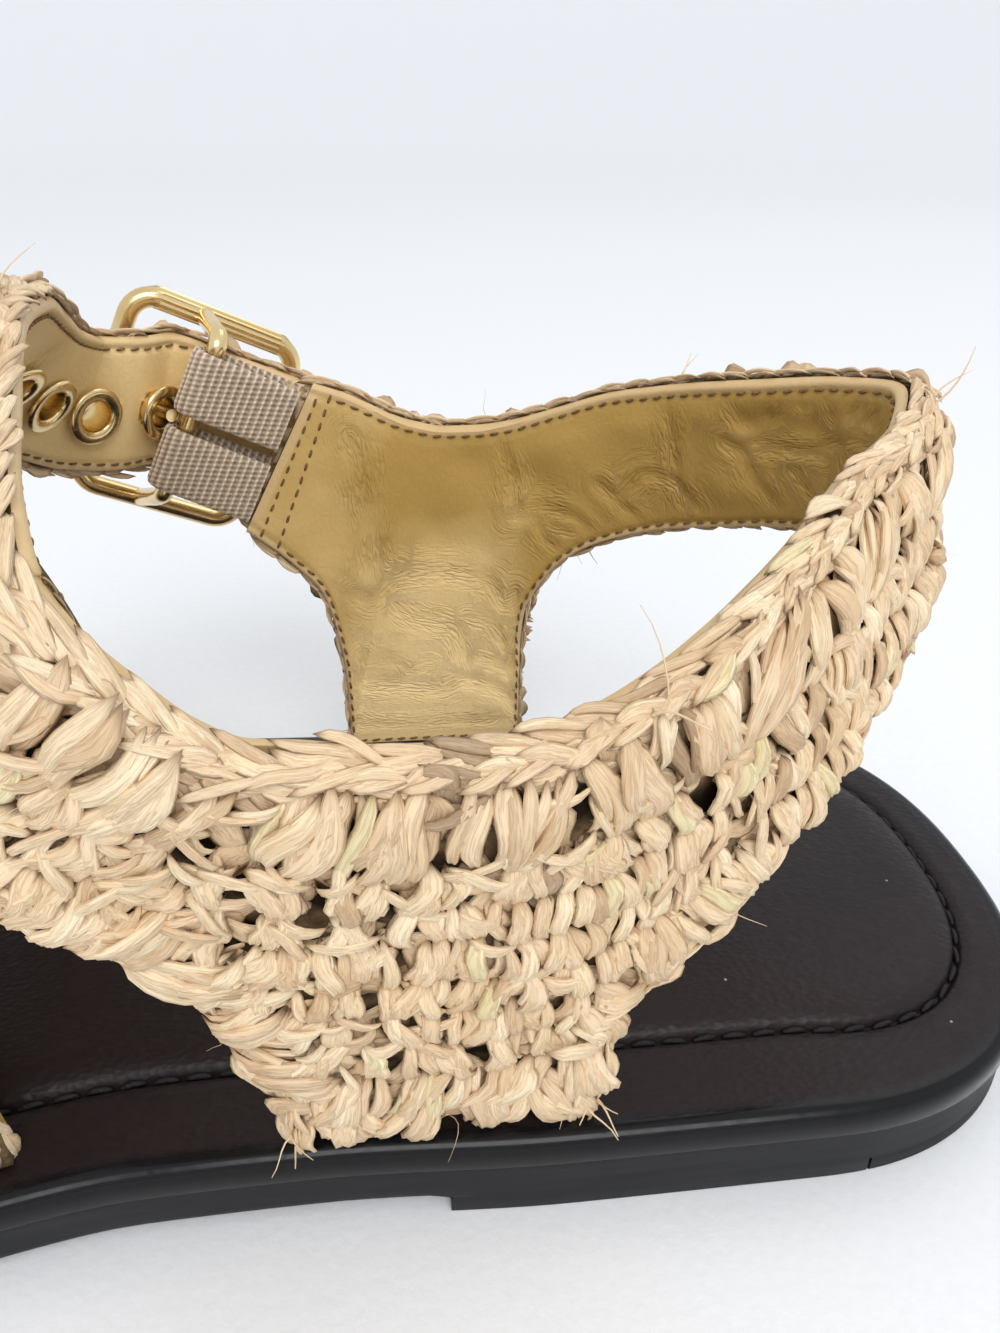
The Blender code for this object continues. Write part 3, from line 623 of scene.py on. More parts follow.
# Ribs of the raffia wall: lower edge, then upper edge, from the outer seam round the heel to the strap's tip
legFoot = 10.2
ribs = np.array((
    (84.0, -32.6, 41.5, 74.2, -34.2, 59.6), (79.0, -32.4, 37.2, 71.0, -34.1, 58.6),
    (75.0, -32.2, 32.0, 68.0, -34.0, 57.2), (73.3, -32.0, 22.0, 65.5, -33.8, 56.0),
    (73.0, -32.0, legFoot, 63.0, -33.6, 55.2), (61.5, -31.8, legFoot, 59.5, -33.2, 54.6),
    (50.0, -31.2, legFoot, 55.5, -32.6, 54.8), (49.6, -31.0, 22.0, 52.0, -31.8, 55.4),
    (48.8, -30.4, 30.5, 48.6, -30.8, 56.4), (46.4, -29.6, 35.6, 45.0, -29.3, 57.8),
    (42.0, -28.0, 39.6, 40.8, -27.0, 59.6), (35.5, -25.2, 42.6, 36.0, -23.0, 61.4),
    (28.0, -20.0, 45.2, 29.5, -15.8, 63.8), (20.8, -11.2, 47.8, 22.0, -7.8, 65.9),
    (17.4, 0.0, 49.2, 18.8, 0.0, 66.9), (21.0, 11.2, 47.4, 22.0, 7.6, 65.9),
    (27.4, 19.6, 45.0, 29.8, 15.4, 64.2), (32.6, 24.6, 40.8, 35.8, 22.6, 62.4),
    (37.0, 27.0, 36.4, 40.6, 27.2, 60.5), (41.8, 28.6, 30.2, 45.0, 30.7, 58.6),
    (47.0, 29.2, 24.6, 49.5, 33.2, 56.5), (50.6, 29.2, 20.5, 53.5, 34.8, 55.0),
    (51.5, 28.7, legFoot, 57.5, 35.8, 54.1), (64.5, 29.0, legFoot, 63.5, 36.5, 53.6),
    (78.0, 29.2, legFoot, 69.0, 37.0, 54.0), (79.0, 29.4, 15.8, 73.5, 37.4, 54.8),
    (81.4, 30.0, 20.4, 77.0, 37.8, 55.4), (82.6, 31.2, 26.0, 80.0, 38.0, 57.2),
    (84.6, 32.6, 32.2, 82.8, 38.2, 60.2), (88.6, 34.2, 37.0, 85.4, 38.3, 63.6),
    (94.0, 36.0, 42.6, 87.8, 37.4, 67.2), (100.5, 34.0, 50.5, 89.8, 31.0, 70.6),
    (106.5, 26.5, 58.5, 91.4, 20.5, 73.6), (110.5, 14.0, 64.0, 92.8, 9.0, 76.6),
    (111.5, 1.0, 65.0, 94.0, -3.0, 75.4), (110.5, -12.0, 62.6, 95.4, -14.0, 71.8),
    (108.0, -22.0, 56.0, 97.2, -23.5, 68.6), (104.0, -29.4, 51.2, 97.6, -30.2, 66.4),
    (99.0, -33.8, 49.4, 93.8, -34.2, 65.4), (95.2, -38.2, 48.6, 90.6, -38.2, 64.9),
    (90.2, -39.6, 46.8, 84.9, -39.6, 62.4), (82.2, -39.8, 43.1, 75.8, -39.8, 58.7),
    (73.6, -39.6, 39.5, 67.2, -39.6, 54.9), (67.4, -39.2, 38.3, 62.0, -39.2, 51.5),
    (62.9, -38.9, 38.7, 59.1, -38.9, 47.9), (60.2, -38.8, 40.8, 58.6, -38.8, 44.4),
))
lastRib = len(ribs) - 1.0
wall = {
    "thick": 4.4, "strapThick": 3.8, "strapStart": 33.0,
    "prongRib": 38.55, "eyeletShare": 0.47, "eyeletPitch": 8.4, "eyelets": 4,
}


def wallPoint(t, w):
    row = along(ribs, t)
    w = np.asarray(w, float)[..., None]
    return row[..., :3] * (1 - w) + row[..., 3:] * w


def wallFrame(t, w):
    t = np.asarray(t, float)
    run = wallPoint(np.minimum(t + 0.02, lastRib), w) - wallPoint(np.maximum(t - 0.02, 0.0), w)
    row = along(ribs, t)
    out = unit(np.cross(row[..., 3:] - row[..., :3], run))
    return wallPoint(t, w), out


def wallSpot(t, w):
    points, outs = wallFrame(np.array([t]), np.array([w]))
    return points[0], outs[0]


def wallHeight(t):
    row = along(ribs, t)
    return np.linalg.norm(row[..., 3:] - row[..., :3], axis=-1)


def ribRise(t, w):
    row = along(ribs, np.array([t]))[0]
    return unit(row[3:] - row[:3])


def halfWall(t):
    share = np.clip((np.asarray(t, float) - wall["strapStart"] + 1.0) / 2.0, 0.0, 1.0)
    return (wall["thick"] * (1 - share) + wall["strapThick"] * share) / 2


# Front bands: distance from the heel, height of the crown, sweep back at the sides
vampRows = np.array((
    (96.0, 56.2, 12.0), (104.0, 52.6, 11.0), (112.0, 48.8, 10.0), (130.0, 43.4, 10.0),
    (150.0, 38.6, 9.0), (170.0, 33.6, 8.0), (190.0, 29.4, 6.0), (212.0, 25.0, 4.0),
))
vampFine = along(vampRows, np.linspace(0.0, len(vampRows) - 1.0, 500))
vamp = {
    "bands": ((112.0, 129.0), (138.0, 155.0), (164.0, 181.0), (190.0, 212.0)),
    "barEnd": 104.0, "barHalf": 7.5, "barRound": 4.0, "barNarrow": 0.45,
    "inset": 4.2, "thick": 4.0, "sidePower": 0.92, "crownPower": 0.82, "upright": 0.97,
    "webStep": 2.2, "webSide": 26, "webMiddle": 9,
}
vampStops = [vamp["barEnd"]] + [s for band in vamp["bands"] for s in band]


def vampPoint(a, station):
    a, station = np.broadcast_arrays(np.asarray(a, float), np.asarray(station, float))
    crown = np.interp(station, vampFine[:, 0], vampFine[:, 1])
    sweep = np.interp(station, vampFine[:, 0], vampFine[:, 2])
    x = station - sweep * a * a
    inner, outer = halfWidths(x)
    low, high = vamp["inset"] - outer, inner - vamp["inset"]
    turn = a * math.pi / 2
    y = (low + high) / 2 + (high - low) / 2 * np.sign(a) * np.abs(np.sin(turn)) ** vamp["sidePower"]
    z = footbedTop(x) + sole["seam"] + crown * np.abs(np.cos(turn)) ** vamp["crownPower"]
    return np.stack((x, y, z), -1)


def vampFrame(a, station):
    across = vampPoint(np.minimum(a + 0.004, 1.0), station) - vampPoint(np.maximum(a - 0.004, -1.0), station)
    run = vampPoint(a, station + 0.3) - vampPoint(a, station - 0.3)
    out = unit(np.cross(run, across))
    rest = 1.0 - vamp["upright"]
    low = (np.clip(np.abs(a) - vamp["upright"], 0.0, rest) / rest)[..., None]
    out = unit(out * (1 - low * (0.0, 0.0, 1.0)))
    return vampPoint(a, station), out


def barShare(station):
    inner, outer = halfWidths(station)
    end = np.clip(1.0 - (np.asarray(station) - vamp["barEnd"]) / vamp["barRound"], 0.0, 1.0)
    half = vamp["barHalf"] * (1.0 - vamp["barNarrow"] * end ** 2)
    return np.arcsin(half / ((inner + outer) / 2 - vamp["inset"])) / (math.pi / 2)


# Eyelets along the strap, a pitch apart and ending at the prong's
def eyeletPlaces():
    t = np.linspace(wall["prongRib"] - 8.0, wall["prongRib"], 4000)
    far = walked(wallPoint(t, np.full_like(t, wall["eyeletShare"]))[::-1])[::-1]
    return [float(np.interp(-k * wall["eyeletPitch"], -far, t)) for k in range(wall["eyelets"])[::-1]]


eyeletRibs = eyeletPlaces()


def eyeletAxes(t):
    point, out = wallSpot(t, wall["eyeletShare"])
    across = ribRise(t, 0.0)
    return point, unit(np.cross(across, out)), across, out


# Strands of raffia: a few leaf shapes, laid by the thousand
strandShape = {
    "rings": 6, "roundness": 0.66, "tip": (0.5, -0.1), "twistFlat": (0.6, 0.9),
    # section across the leaf: share of the width, share of the height
    "section": ((-0.5, -0.10), (-0.32, 0.26), (-0.05, 0.13), (0.27, 0.30), (0.5, -0.06), (0.0, -0.34)),
    # skew of the arch, twist, sideways bend, sway, narrowing at the start and at the end
    "kinds": (
        (1.0, 0.2, 0.25, 0.0, 0.42, 0.42), (0.8, -0.6, -0.4, 0.15, 0.5, 0.36),
        (1.25, 0.7, 0.3, -0.2, 0.34, 0.55), (1.0, -0.3, 0.55, 0.0, 0.6, 0.3),
        (0.9, 1.0, -0.25, 0.2, 0.45, 0.5), (1.1, -1.0, 0.0, -0.25, 0.3, 0.45),
        (1.0, 0.4, -0.6, 0.1, 0.38, 0.62), (0.85, 0.0, 0.1, 0.3, 0.28, 0.3),
        (1.0, 0.15, 0.0, 0.0, 0.45, 0.45),
    ),
    "straight": 8,
}


def strandObject(number, skew, twist, bend, sway, start, end):
    section = np.array(strandShape["section"])
    rings, sides = strandShape["rings"], len(section)
    share = np.linspace(0.0, 1.0, rings + 2)
    width = share ** start * (1 - share) ** end
    width = width / width.max()
    arch = np.sin(math.pi * share ** skew) ** strandShape["roundness"]
    far, low = strandShape["tip"]
    flatWide, flatHigh = strandShape["twistFlat"]
    points = [(-far, 0.0, low)]
    for s, w, h in list(zip(share, width, arch))[1:-1]:
        turn = twist * (s - 0.5)
        y = section[:, 0] * math.cos(turn) - section[:, 1] * math.sin(turn) * flatWide
        z = section[:, 0] * math.sin(turn) * flatHigh + section[:, 1] * math.cos(turn)
        aside = bend * math.sin(math.pi * s) + sway * math.sin(2 * math.pi * s)
        points += [(s - 0.5, b * w + aside, h + c * w) for b, c in zip(y, z)]
    points.append((far, 0.0, low))
    tip = len(points) - 1
    mesh = bpy.data.meshes.new(f"strand{number}")
    mesh.from_pydata(points, [], spindleFaces(rings, sides))
    layer = mesh.uv_layers.new(name="UVMap")  # round the leaf, then along it
    for face in mesh.polygons:
        spots = [((v - 1) % sides) / sides for v in face.vertices if 0 < v < tip]
        wraps = max(spots) - min(spots) > 0.5
        for loop, v in zip(face.loop_indices, face.vertices):
            if 0 < v < tip:
                u = ((v - 1) % sides) / sides
                layer.data[loop].uv = (u + 1.0 if wraps and u < 0.5 else u, share[1 + (v - 1) // sides])
            else:
                layer.data[loop].uv = (sum(spots) / len(spots), 0.0 if v == 0 else 1.0)
    facedOut(mesh)
    return bpy.data.objects.new(f"strand{number}", mesh)


def shapeCollection(name, objects):
    made = bpy.data.collections.new(name)
    bpy.context.scene.collection.children.link(made)
    for item in objects:
        made.objects.link(item)
    return made


def dropCollection(collection):
    for item in list(collection.objects):
        bpy.data.objects.remove(item, do_unlink=True)
    bpy.data.collections.remove(collection)


# lays one of the shapes on every place, turned and stretched as the place says
def layTree():
    tree = bpy.data.node_groups.new("layShapes", "GeometryNodeTree")
    sockets = {"Places": "Geometry", "Shapes": "Collection", "Fullness": "Float", "Lean": "Float",
               "Seed": "Int", "Finish": "Material"}
    for name, kind in sockets.items():
        tree.interface.new_socket(name, in_out="INPUT", socket_type="NodeSocket" + kind)
    tree.interface.new_socket("Mesh", in_out="OUTPUT", socket_type="NodeSocketGeometry")

    def add(kind, inputs=(), **settings):
        return addNode(tree, kind, inputs, **settings)

    def read(fact, kind):
        return add("GeometryNodeInputNamedAttribute", {"Name": fact}, data_type=kind)["Attribute"]

    given = add("NodeGroupInput")
    shapes = {"Collection": given["Shapes"], "Separate Children": True, "Reset Children": True}
    swell = add("ShaderNodeCombineXYZ", {"X": 1.0, "Y": 1.0, "Z": given["Fullness"]})["Vector"]
    places = {
        "Points": given["Places"],
        "Instance": add("GeometryNodeCollectionInfo", shapes)["Instances"],
        "Pick Instance": True,
        "Instance Index": read("kind", "INT"),
        "Rotation": add("FunctionNodeEulerToRotation", {"Euler": read("turn", "FLOAT_VECTOR")})["Rotation"],
        "Scale": add("ShaderNodeVectorMath", {0: read("stretch", "FLOAT_VECTOR"), 1: swell},
                     operation="MULTIPLY")["Vector"],
    }
    laid = add("GeometryNodeInstanceOnPoints", places)["Instances"]
    back = add("ShaderNodeMath", {0: given["Lean"], 1: -1.0}, operation="MULTIPLY")[0]
    chance = {2: back, 3: given["Lean"], "Seed": given["Seed"]}
    yaw = add("ShaderNodeCombineXYZ",
              {"Z": add("FunctionNodeRandomValue", chance, data_type="FLOAT")[1]})["Vector"]
    swayed = add("GeometryNodeRotateInstances", {"Instances": laid, "Rotation": yaw})["Instances"]
    real = add("GeometryNodeRealizeInstances", {"Geometry": swayed})["Geometry"]
    done = add("GeometryNodeSetMaterial", {"Geometry": real, "Material": given["Finish"]})["Geometry"]
    add("NodeGroupOutput", {"Mesh": done})
    return tree


layShapes = layTree()


# rows of places: centre, direction along, direction out, size, tone, kind
def layPiece(name, places, shapes, finish, nodes=(), fullness=1.0, lean=0.0, seed=3):
    centres, runs, outs, sizes, tones, kinds = zip(*places)
    mesh = bpy.data.meshes.new(name + "Places")
    mesh.from_pydata(toWorld(centres).tolist(), [], [])
    axes = [np.column_stack((run, np.cross(out, run), out)) for run, out in zip(runs, outs)]
    addFact(mesh, "turn", [Matrix(axis.tolist()).to_euler() for axis in axes])
    addFact(mesh, "stretch", np.array(sizes) * mm)
    addFact(mesh, "tone", tones)
    addFact(mesh, "kind", kinds)
    piece = linked(name, mesh)
    modifier = piece.modifiers.new("lay", "NODES")
    modifier.node_group = layShapes
    given = {"Shapes": shapes, "Fullness": fullness, "Lean": lean, "Seed": seed, "Finish": finishes[finish]}
    for item in layShapes.interface.items_tree:
        if item.name in given:
            modifier[item.identifier] = given[item.name]
    return dress(bakeModifiers(piece), nodes)


# Crochet stitches, in millimetres on the surface: u along the row, v towards the upper edge, n outwards
crochet = {
    "leaf": (1.25, 2.0), "lift": 0.4, "roll": 0.15, "uneven": 0.08, "eyeletClear": 3.9,
    "tone": (0.56, 0.24), "toneRange": (0.06, 0.93), "greenShare": 0.03,
    "feet": ((3.95, 6.05), (21.95, 24.05)), "pastEdge": 0.3, "edgeMargin": 0.8,
    # holes between the stitches of the inner side, near black there as painted shade: rib, share, radius
    "holes": (
        (28.01, 0.64, 1.1), (26.94, 0.71, 0.8), (26.05, 0.68, 0.9), (24.54, 0.70, 0.9), (23.54, 0.70, 0.8),
        (26.09, 0.51, 0.9), (25.58, 0.88, 0.7), (27.03, 0.86, 0.6), (22.25, 0.73, 0.7), (21.46, 0.85, 0.7),
        (23.44, 0.59, 0.5), (22.84, 0.25, 0.6), (23.57, 0.31, 0.6), (17.90, 0.78, 0.9), (17.62, 0.58, 0.9),
        (18.47, 0.61, 0.8), (21.21, 0.84, 1.0), (18.06, 0.74, 0.6), (19.51, 0.55, 0.7), (21.84, 0.86, 0.6),
        (29.30, 0.75, 0.9), (29.67, 0.54, 0.7),
    ),
    # soiled spots: rib, share, radius
    "soiled": ((22.97, 0.98, 1.5), (23.10, 0.92, 1.5), (23.66, 0.65, 1.5), (22.28, 0.73, 1.4),
               (19.85, 0.80, 1.3)),
    "soil": 0.034, "holeReach": 8.0, "holeCover": 0.35,
}


def tone():
    if dice.random() > crochet["greenShare"]:
        return float(np.clip(dice.normal(*crochet["tone"]), *crochet["toneRange"]))
    return 1.0


def leafWidth(share=1.0):
    return share * dice.uniform(*crochet["leaf"])


def anyKind():
    return int(dice.integers(0, strandShape["straight"]))


def layStrand(store, spot, start, end, width, height, lift=0.0, litShare=1.0):
    origin, u, v, n = spot
    a = origin + u * start[0] + v * start[1]
    b = origin + u * end[0] + v * end[1]
    run = unit(b - a)
    roll = dice.normal(0.0, crochet["roll"])
    out = unit(n - run * np.dot(n, run))
    out = unit(out * math.cos(roll) + np.cross(run, out) * math.sin(roll))
    size = (np.linalg.norm(b - a), width, height)
    # a lit share below one darkens the leaf as painted shade
    store.append(((a + b) / 2 + n * (crochet["lift"] + lift), run, out, size, litShare * tone(), anyKind()))


# a swollen bunch of broad leaves that meet at the top, at the foot or at both
puffStitch = {
    "wide": 7.4, "tall": 7.6, "least": 4.5, "share": 0.40, "spill": (1.08, 1.12),
    "bandTall": 8.0, "bandShare": 0.6, "bandEdges": 5.6,
    "from": 9.0, "lowFrom": 27.0, "lowIn": 4.0, "lowTall": 0.95,
    "leaves": (6, 10), "lean": (0.5, 1.2), "gather": ((0.5, 1.0), (1.0, 0.55), (0.65, 0.7)),
    "aside": 0.3, "atTop": 0.4, "atFoot": 0.5, "overlap": (1.4, 2.1),
    "height": 0.9, "swell": 0.5, "uneven": 0.3, "lift": 0.1, "swellLift": 0.6,
    # lobes at the feet of the legs
    "lobeIn": 2.6, "lobePitch": 6.4, "lobeWide": 7.2, "lobeTall": (6.0, 7.4),
}


def puff(store, spot, wide, tall):
    s = puffStitch
    count = int(dice.integers(*s["leaves"]))
    lean = dice.normal(*s["lean"])
    topShare, footShare = s["gather"][int(dice.integers(0, len(s["gather"])))]
    for i in range(count):
        f = (i + 0.5) / count - 0.5
        swell = 1.0 - (2 * f) ** 2
        start = (f * wide * topShare - lean + dice.normal(0, s["aside"]),
                 tall / 2 + dice.normal(0, s["atTop"]))
        end = (f * wide * footShare + lean + dice.normal(0, s["aside"]),
               -tall / 2 + dice.normal(0, s["atFoot"]))
        width = wide / count * dice.uniform(*s["overlap"])
        height = s["height"] + s["swell"] * swell + dice.uniform(0.0, s["uneven"])
        layStrand(store, spot, start, end, width, height, s["lift"] + s["swellLift"] * swell)


# a short stitch: two arms of a V, each a fold of two or three leaves, and a wrap across
knotStitch = {
    "pitch": 4.3, "tall": 4.9, "rowPitch": 4.1, "rows": 9, "rowGap": 1.9, "rowRoom": -1.2, "skip": 0.05,
    "lean": 0.5, "swell": 0.6, "leaves": (2, 4), "fold": 1.9, "aside": 0.2, "uneven": 0.35,
    # an arm's top and foot: share of the width, of the fold and of the height
    "top": (0.27, 0.7, 0.5), "foot": (0.22, 0.9, -0.52), "height": (0.9, 1.4), "lift": (0.0, 0.4),
    "wraps": 0.5, "wrapAt": (0.15, 0.5), "wrapTilt": 0.6, "wrapWide": 0.9, "wrapHeight": (0.8, 1.2),
    "wrapLift": (0.1, 0.6), "bandEnd": 2.0, "barRows": (-0.36, 0.36),
}


def knot(store, spot):
    s = knotStitch
    wide, tall = s["pitch"], s["tall"]
    lean = dice.normal(0.0, s["lean"])
    swell = dice.uniform(0.0, s["swell"])
    for side in (-1, 1):
        if dice.random() < s["skip"]:
            continue
        leaves = int(dice.integers(*s["leaves"]))
        for k in range(leaves):
            aside = (k - (leaves - 1) / 2) * s["fold"] / leaves
            arm = []
            for (apart, folded, high), way in ((s["top"], lean), (s["foot"], -lean)):
                x = side * wide * apart + way + aside * folded + dice.normal(0, s["aside"])
                arm.append((x, tall * high + dice.normal(0, s["uneven"])))
            layStrand(store, spot, *arm, leafWidth(), dice.uniform(*s["height"]),
                      swell + dice.uniform(*s["lift"]))
    if dice.random() < s["wraps"]:
        y = tall * dice.uniform(*s["wrapAt"])
        start, end = [(x, y + dice.normal(0, s["wrapTilt"])) for x in (-wide / 2, wide / 2)]
        width, height = leafWidth(s["wrapWide"]), dice.uniform(*s["wrapHeight"])
        layStrand(store, spot, start, end, width, height, swell + dice.uniform(*s["wrapLift"]))


# even places along a line on a surface: origin, along, towards the upper edge, outwards
def spotsAlong(frameAt, p, q, pitch, upward, start=0.5):
    points, outs = frameAt(p, q)
    far = walked(points)
    wanted = np.arange(start * pitch, far[-1], pitch)
    wanted = np.clip(wanted + dice.normal(0.0, crochet["uneven"] * pitch, len(wanted)), 0.0, far[-1])
    at = np.interp(wanted, far, np.arange(len(far)))
    k = np.clip(at.astype(int), 1, len(far) - 3)
    spots = []
    for i, real in zip(k, at):
        f = real - i
        origin = points[i] * (1 - f) + points[i + 1] * f
        u = unit(points[i + 2] - points[i - 1])
        n = unit(outs[i] - u * np.dot(outs[i], u))
        v = np.cross(n, u)
        if np.dot(v, upward(p[i], q[i])) < 0:
            v = -v
        spots.append(((origin, u, v, n), i))
    return spots


def nearEyelet(point):
    return any(np.linalg.norm(point - eyeletAxes(t)[0]) < crochet["eyeletClear"] for t in eyeletRibs)


# chain of leaning leaves along an edge, like an ear of wheat, seen from the edge and from outside
rimStitch = {
    "pitch": 3.2, "length": 5.8, "wide": (1.35, 1.85), "height": (0.45, 0.65), "clear": 2.4,
    "uneven": (0.9, 1.1), "yaw": (0.23, 0.05), "tilt": 0.04, "shift": 0.25, "straight": 0.7,
    "face": (0.8, 0.6),  # how much the chain faces past the edge, and outwards
    "seat": (1.0, 0.1),  # its place in from the edge, and outwards
    "aside": 0.55, "foldAside": 0.4, "rise": -0.1, "foldRise": 0.15, "foldNarrow": 0.45,
    # two leaves along the chain's inner side, a little darker as painted shade
    "lowIn": 2.0, "lowRows": (-0.6, 0.4), "lowReach": 2.9, "lowTilt": (0.3, 0.4),
    "lowHeight": 0.7, "lowLitShare": 0.9,
}


def rimChain(store, frameAt, p, q, upward, away, bare=()):
    s = rimStitch
    past, outside = s["face"]
    seatIn, seatOut = s["seat"]
    for spot, i in spotsAlong(frameAt, p, q, s["pitch"], upward):
        if any(first < p[i] < last for first, last in bare):
            continue
        origin, u, v, n = spot
        edge = v * away
        up = unit(edge * past + n * outside)
        side = np.cross(up, u)
        for hand in (-1, 1):
            yaw = hand * dice.normal(*s["yaw"])
            for k in range(2):  # a broad leaf and a narrow fold upon it
                run = unit(u * math.cos(yaw) + side * math.sin(yaw) + up * dice.normal(0.0, s["tilt"]))
                middle = (origin - edge * seatIn + n * seatOut
                          + side * hand * (s["aside"] + s["foldAside"] * k))
                middle = middle + up * (s["foldRise"] * k + s["rise"])
                middle = middle + u * (0.5 * hand * s["pitch"] / 2 + dice.normal(0, s["shift"]))
                length = s["length"] * dice.uniform(*s["uneven"])
                width = dice.uniform(*s["wide"]) * (1 - s["foldNarrow"] * k)
                size = (length, width, dice.uniform(*s["height"]))
                shade = tone()
                kind = strandShape["straight"] if dice.random() < s["straight"] else anyKind()
                store.append((middle, run, up, size, shade, kind))
        low = (origin - edge * s["lowIn"], u, v, n)
        reach = s["lowReach"]
        for y in s["lowRows"]:
            start, end = [(x, y + dice.normal(0, tilt)) for x, tilt in zip((-reach, reach), s["lowTilt"])]
            layStrand(store, low, start, end, leafWidth(), s["lowHeight"], 0.0, s["lowLitShare"])


def ends(turn, reach):
    end = reach * np.array((math.cos(turn), math.sin(turn)))
    return -end, end


# a bed of leaves under a row of stitches, darker as painted shade
bed = {
    "pitch": 3.4, "row": 3.0, "in": 2.2, "deepest": 46.0, "room": 2.0, "bandEnd": 1.8,
    "turn": (-1.5, 1.5), "reach": (2.2, 3.0), "wide": 1.7, "height": 0.55, "lift": 0.05, "litShare": 0.5,
}


def bedRow(store, frameAt, p, q, upward, inside):
    for spot, i in spotsAlong(frameAt, p, q, bed["pitch"], upward):
        if inside[i] and not nearEyelet(spot[0]):
            turn = dice.uniform(*bed["turn"])
            start, end = ends(turn, dice.uniform(*bed["reach"]))
            layStrand(store, spot, start, end, leafWidth(bed["wide"]), bed["height"], bed["lift"], bed["litShare"])


# single leaves that lie across the rows
loose = {
    "count": 420, "inBand": 60, "turn": (0.9, 0.9), "reach": (1.8, 3.6),
    "wide": 0.6, "height": (0.7, 1.1), "lift": (0.5, 1.2),
}


def looseLeaves(store, frameAt, spread, count):
    for _ in range(count):
        p, q = spread()
        (point, ahead), (out, _) = frameAt(np.array((p, p + 0.02)), np.array((q, q)))
        u = unit(ahead - point)
        spot = (point, u, np.cross(out, u), out)
        turn = dice.normal(*loose["turn"])
        start, end = ends(turn, dice.uniform(*loose["reach"]))
        if not nearEyelet(point):
            width, height = leafWidth(loose["wide"]), dice.uniform(*loose["height"])
            layStrand(store, spot, start, end, width, height, dice.uniform(*loose["lift"]))


# moves leaves that reach past an edge of the wall back over it
def pulledInside(store):
    t, w = np.meshgrid(np.linspace(0.0, lastRib, 1500), np.linspace(0.0, 1.0, 31), indexing="ij")
    atEdge = ((w < 0.001) | (w > 0.999)).ravel()
    margin = crochet["edgeMargin"] / wallHeight(t[:, :1].ravel())[:, None]
    onFoot = np.any([(t > first) & (t < last) for first, last in crochet["feet"]], axis=0)
    w = np.where(onFoot, 0.0, margin) * (1 - w) + (1 - margin) * w
    points, outs = (rows.reshape(-1, 3) for rows in wallFrame(t, w))
    tree = KDTree(len(points))
    for k, point in enumerate(points):
        tree.insert(point, k)
    tree.balance()
    kept = []
    for centre, run, out, size, shade, kind in store:
        for sign in (-0.5, 0.5):
            end = centre + run * size[0] * sign
            k = tree.find(end)[1]
            gap = end - points[k]
            gap = gap - outs[k] * np.dot(gap, outs[k])
            past = np.linalg.norm(gap) - crochet["pastEdge"]
            if atEdge[k] and past > 0:
                centre = centre - unit(gap) * past
        kept.append((centre, run, out, size, shade, kind))
    return kept


# moves leaves off the holes and darkens those on soiled spots
def holedAndSoiled(store):
    spots, marks = ([(wallSpot(t, w)[0], r) for t, w, r in crochet[key]] for key in ("holes", "soiled"))
    kept = []
    for centre, run, out, size, shade, kind in store:
        for spot, radius in spots:
            gap = spot - centre
            if np.linalg.norm(gap) > crochet["holeReach"]:
                continue
            gap = gap - run * np.clip(np.dot(gap, run), -size[0] / 2, size[0] / 2)
            gap = gap - out * np.dot(gap, out) + 1e-6
            past = radius + crochet["holeCover"] * size[1] - np.linalg.norm(gap)
            if past > 0:
                centre = centre - unit(gap) * past
        if any(np.linalg.norm(spot - centre) < radius for spot, radius in marks):
            shade = crochet["soil"]
        kept.append((centre, run, out, size, shade, kind))
    return kept


def quarterStrands():
    store, rim = [], []
    s, clear = puffStitch, rimStitch["clear"]
    wide, tallest = s["wide"], s["tall"]
    spillWide, spillTall = s["spill"]
    t = np.linspace(0.0, lastRib, 3200)
    height = wallHeight(t)
    rimChain(rim, wallFrame, t, np.ones_like(t), ribRise, 1.0)
    rimChain(rim, wallFrame, t, np.zeros_like(t), ribRise, -1.0, crochet["feet"])
    for first, last in crochet["feet"]:  # lobes at the feet of the legs
        near = np.linspace(first, last, 200)
        share = s["lobeIn"] / wallHeight(near)
        for spot, _ in spotsAlong(wallFrame, near, share, s["lobePitch"], ribRise):
            puff(store, spot, s["lobeWide"], dice.uniform(*s["lobeTall"]))
    tall = np.clip(s["share"] * (height - 2 * clear), s["least"], tallest)
    middle = clear + tall / 2
    for spot, i in spotsAlong(wallFrame, t, 1 - middle / height, wide, ribRise):
        if height[i] > s["from"] and not nearEyelet(spot[0]):
            puff(store, spot, wide * spillWide, tall[i] * spillTall)
    low = np.where(height > s["lowFrom"], tallest, 0.0)
    for spot, i in spotsAlong(wallFrame, t, (clear + s["lowIn"]) / height, wide, ribRise):
        if low[i] > 0:
            puff(store, spot, wide, tallest * s["lowTall"])
    for row in range(knotStitch["rows"]):
        down = clear + tall + knotStitch["rowGap"] + row * knotStitch["rowPitch"]
        offset = 0.5 * (1 + row % 2)  # every other row half a stitch on
        for spot, i in spotsAlong(wallFrame, t, 1 - down / height, knotStitch["pitch"], ribRise, offset):
            room = height[i] - down[i] - clear - low[i]
            if room > knotStitch["rowRoom"] and not nearEyelet(spot[0]):
                knot(store, spot)
    for down in np.arange(bed["in"], bed["deepest"], bed["row"]):
        bedRow(store, wallFrame, t, np.clip(1 - down / height, 0.0, 1.0), ribRise,
               height - down > bed["room"])
    spread = lambda: (dice.uniform(0.3, lastRib - 0.6), dice.uniform(0.08, 0.92))
    looseLeaves(store, wallFrame, spread, loose["count"])
    return holedAndSoiled(rim + pulledInside(store))


def vampUp(a, station):
    return vampPoint(a, station + 0.5) - vampPoint(a, station - 0.5)


def inward(a, station):
    return np.array((0.0, 1.0, 0.0))


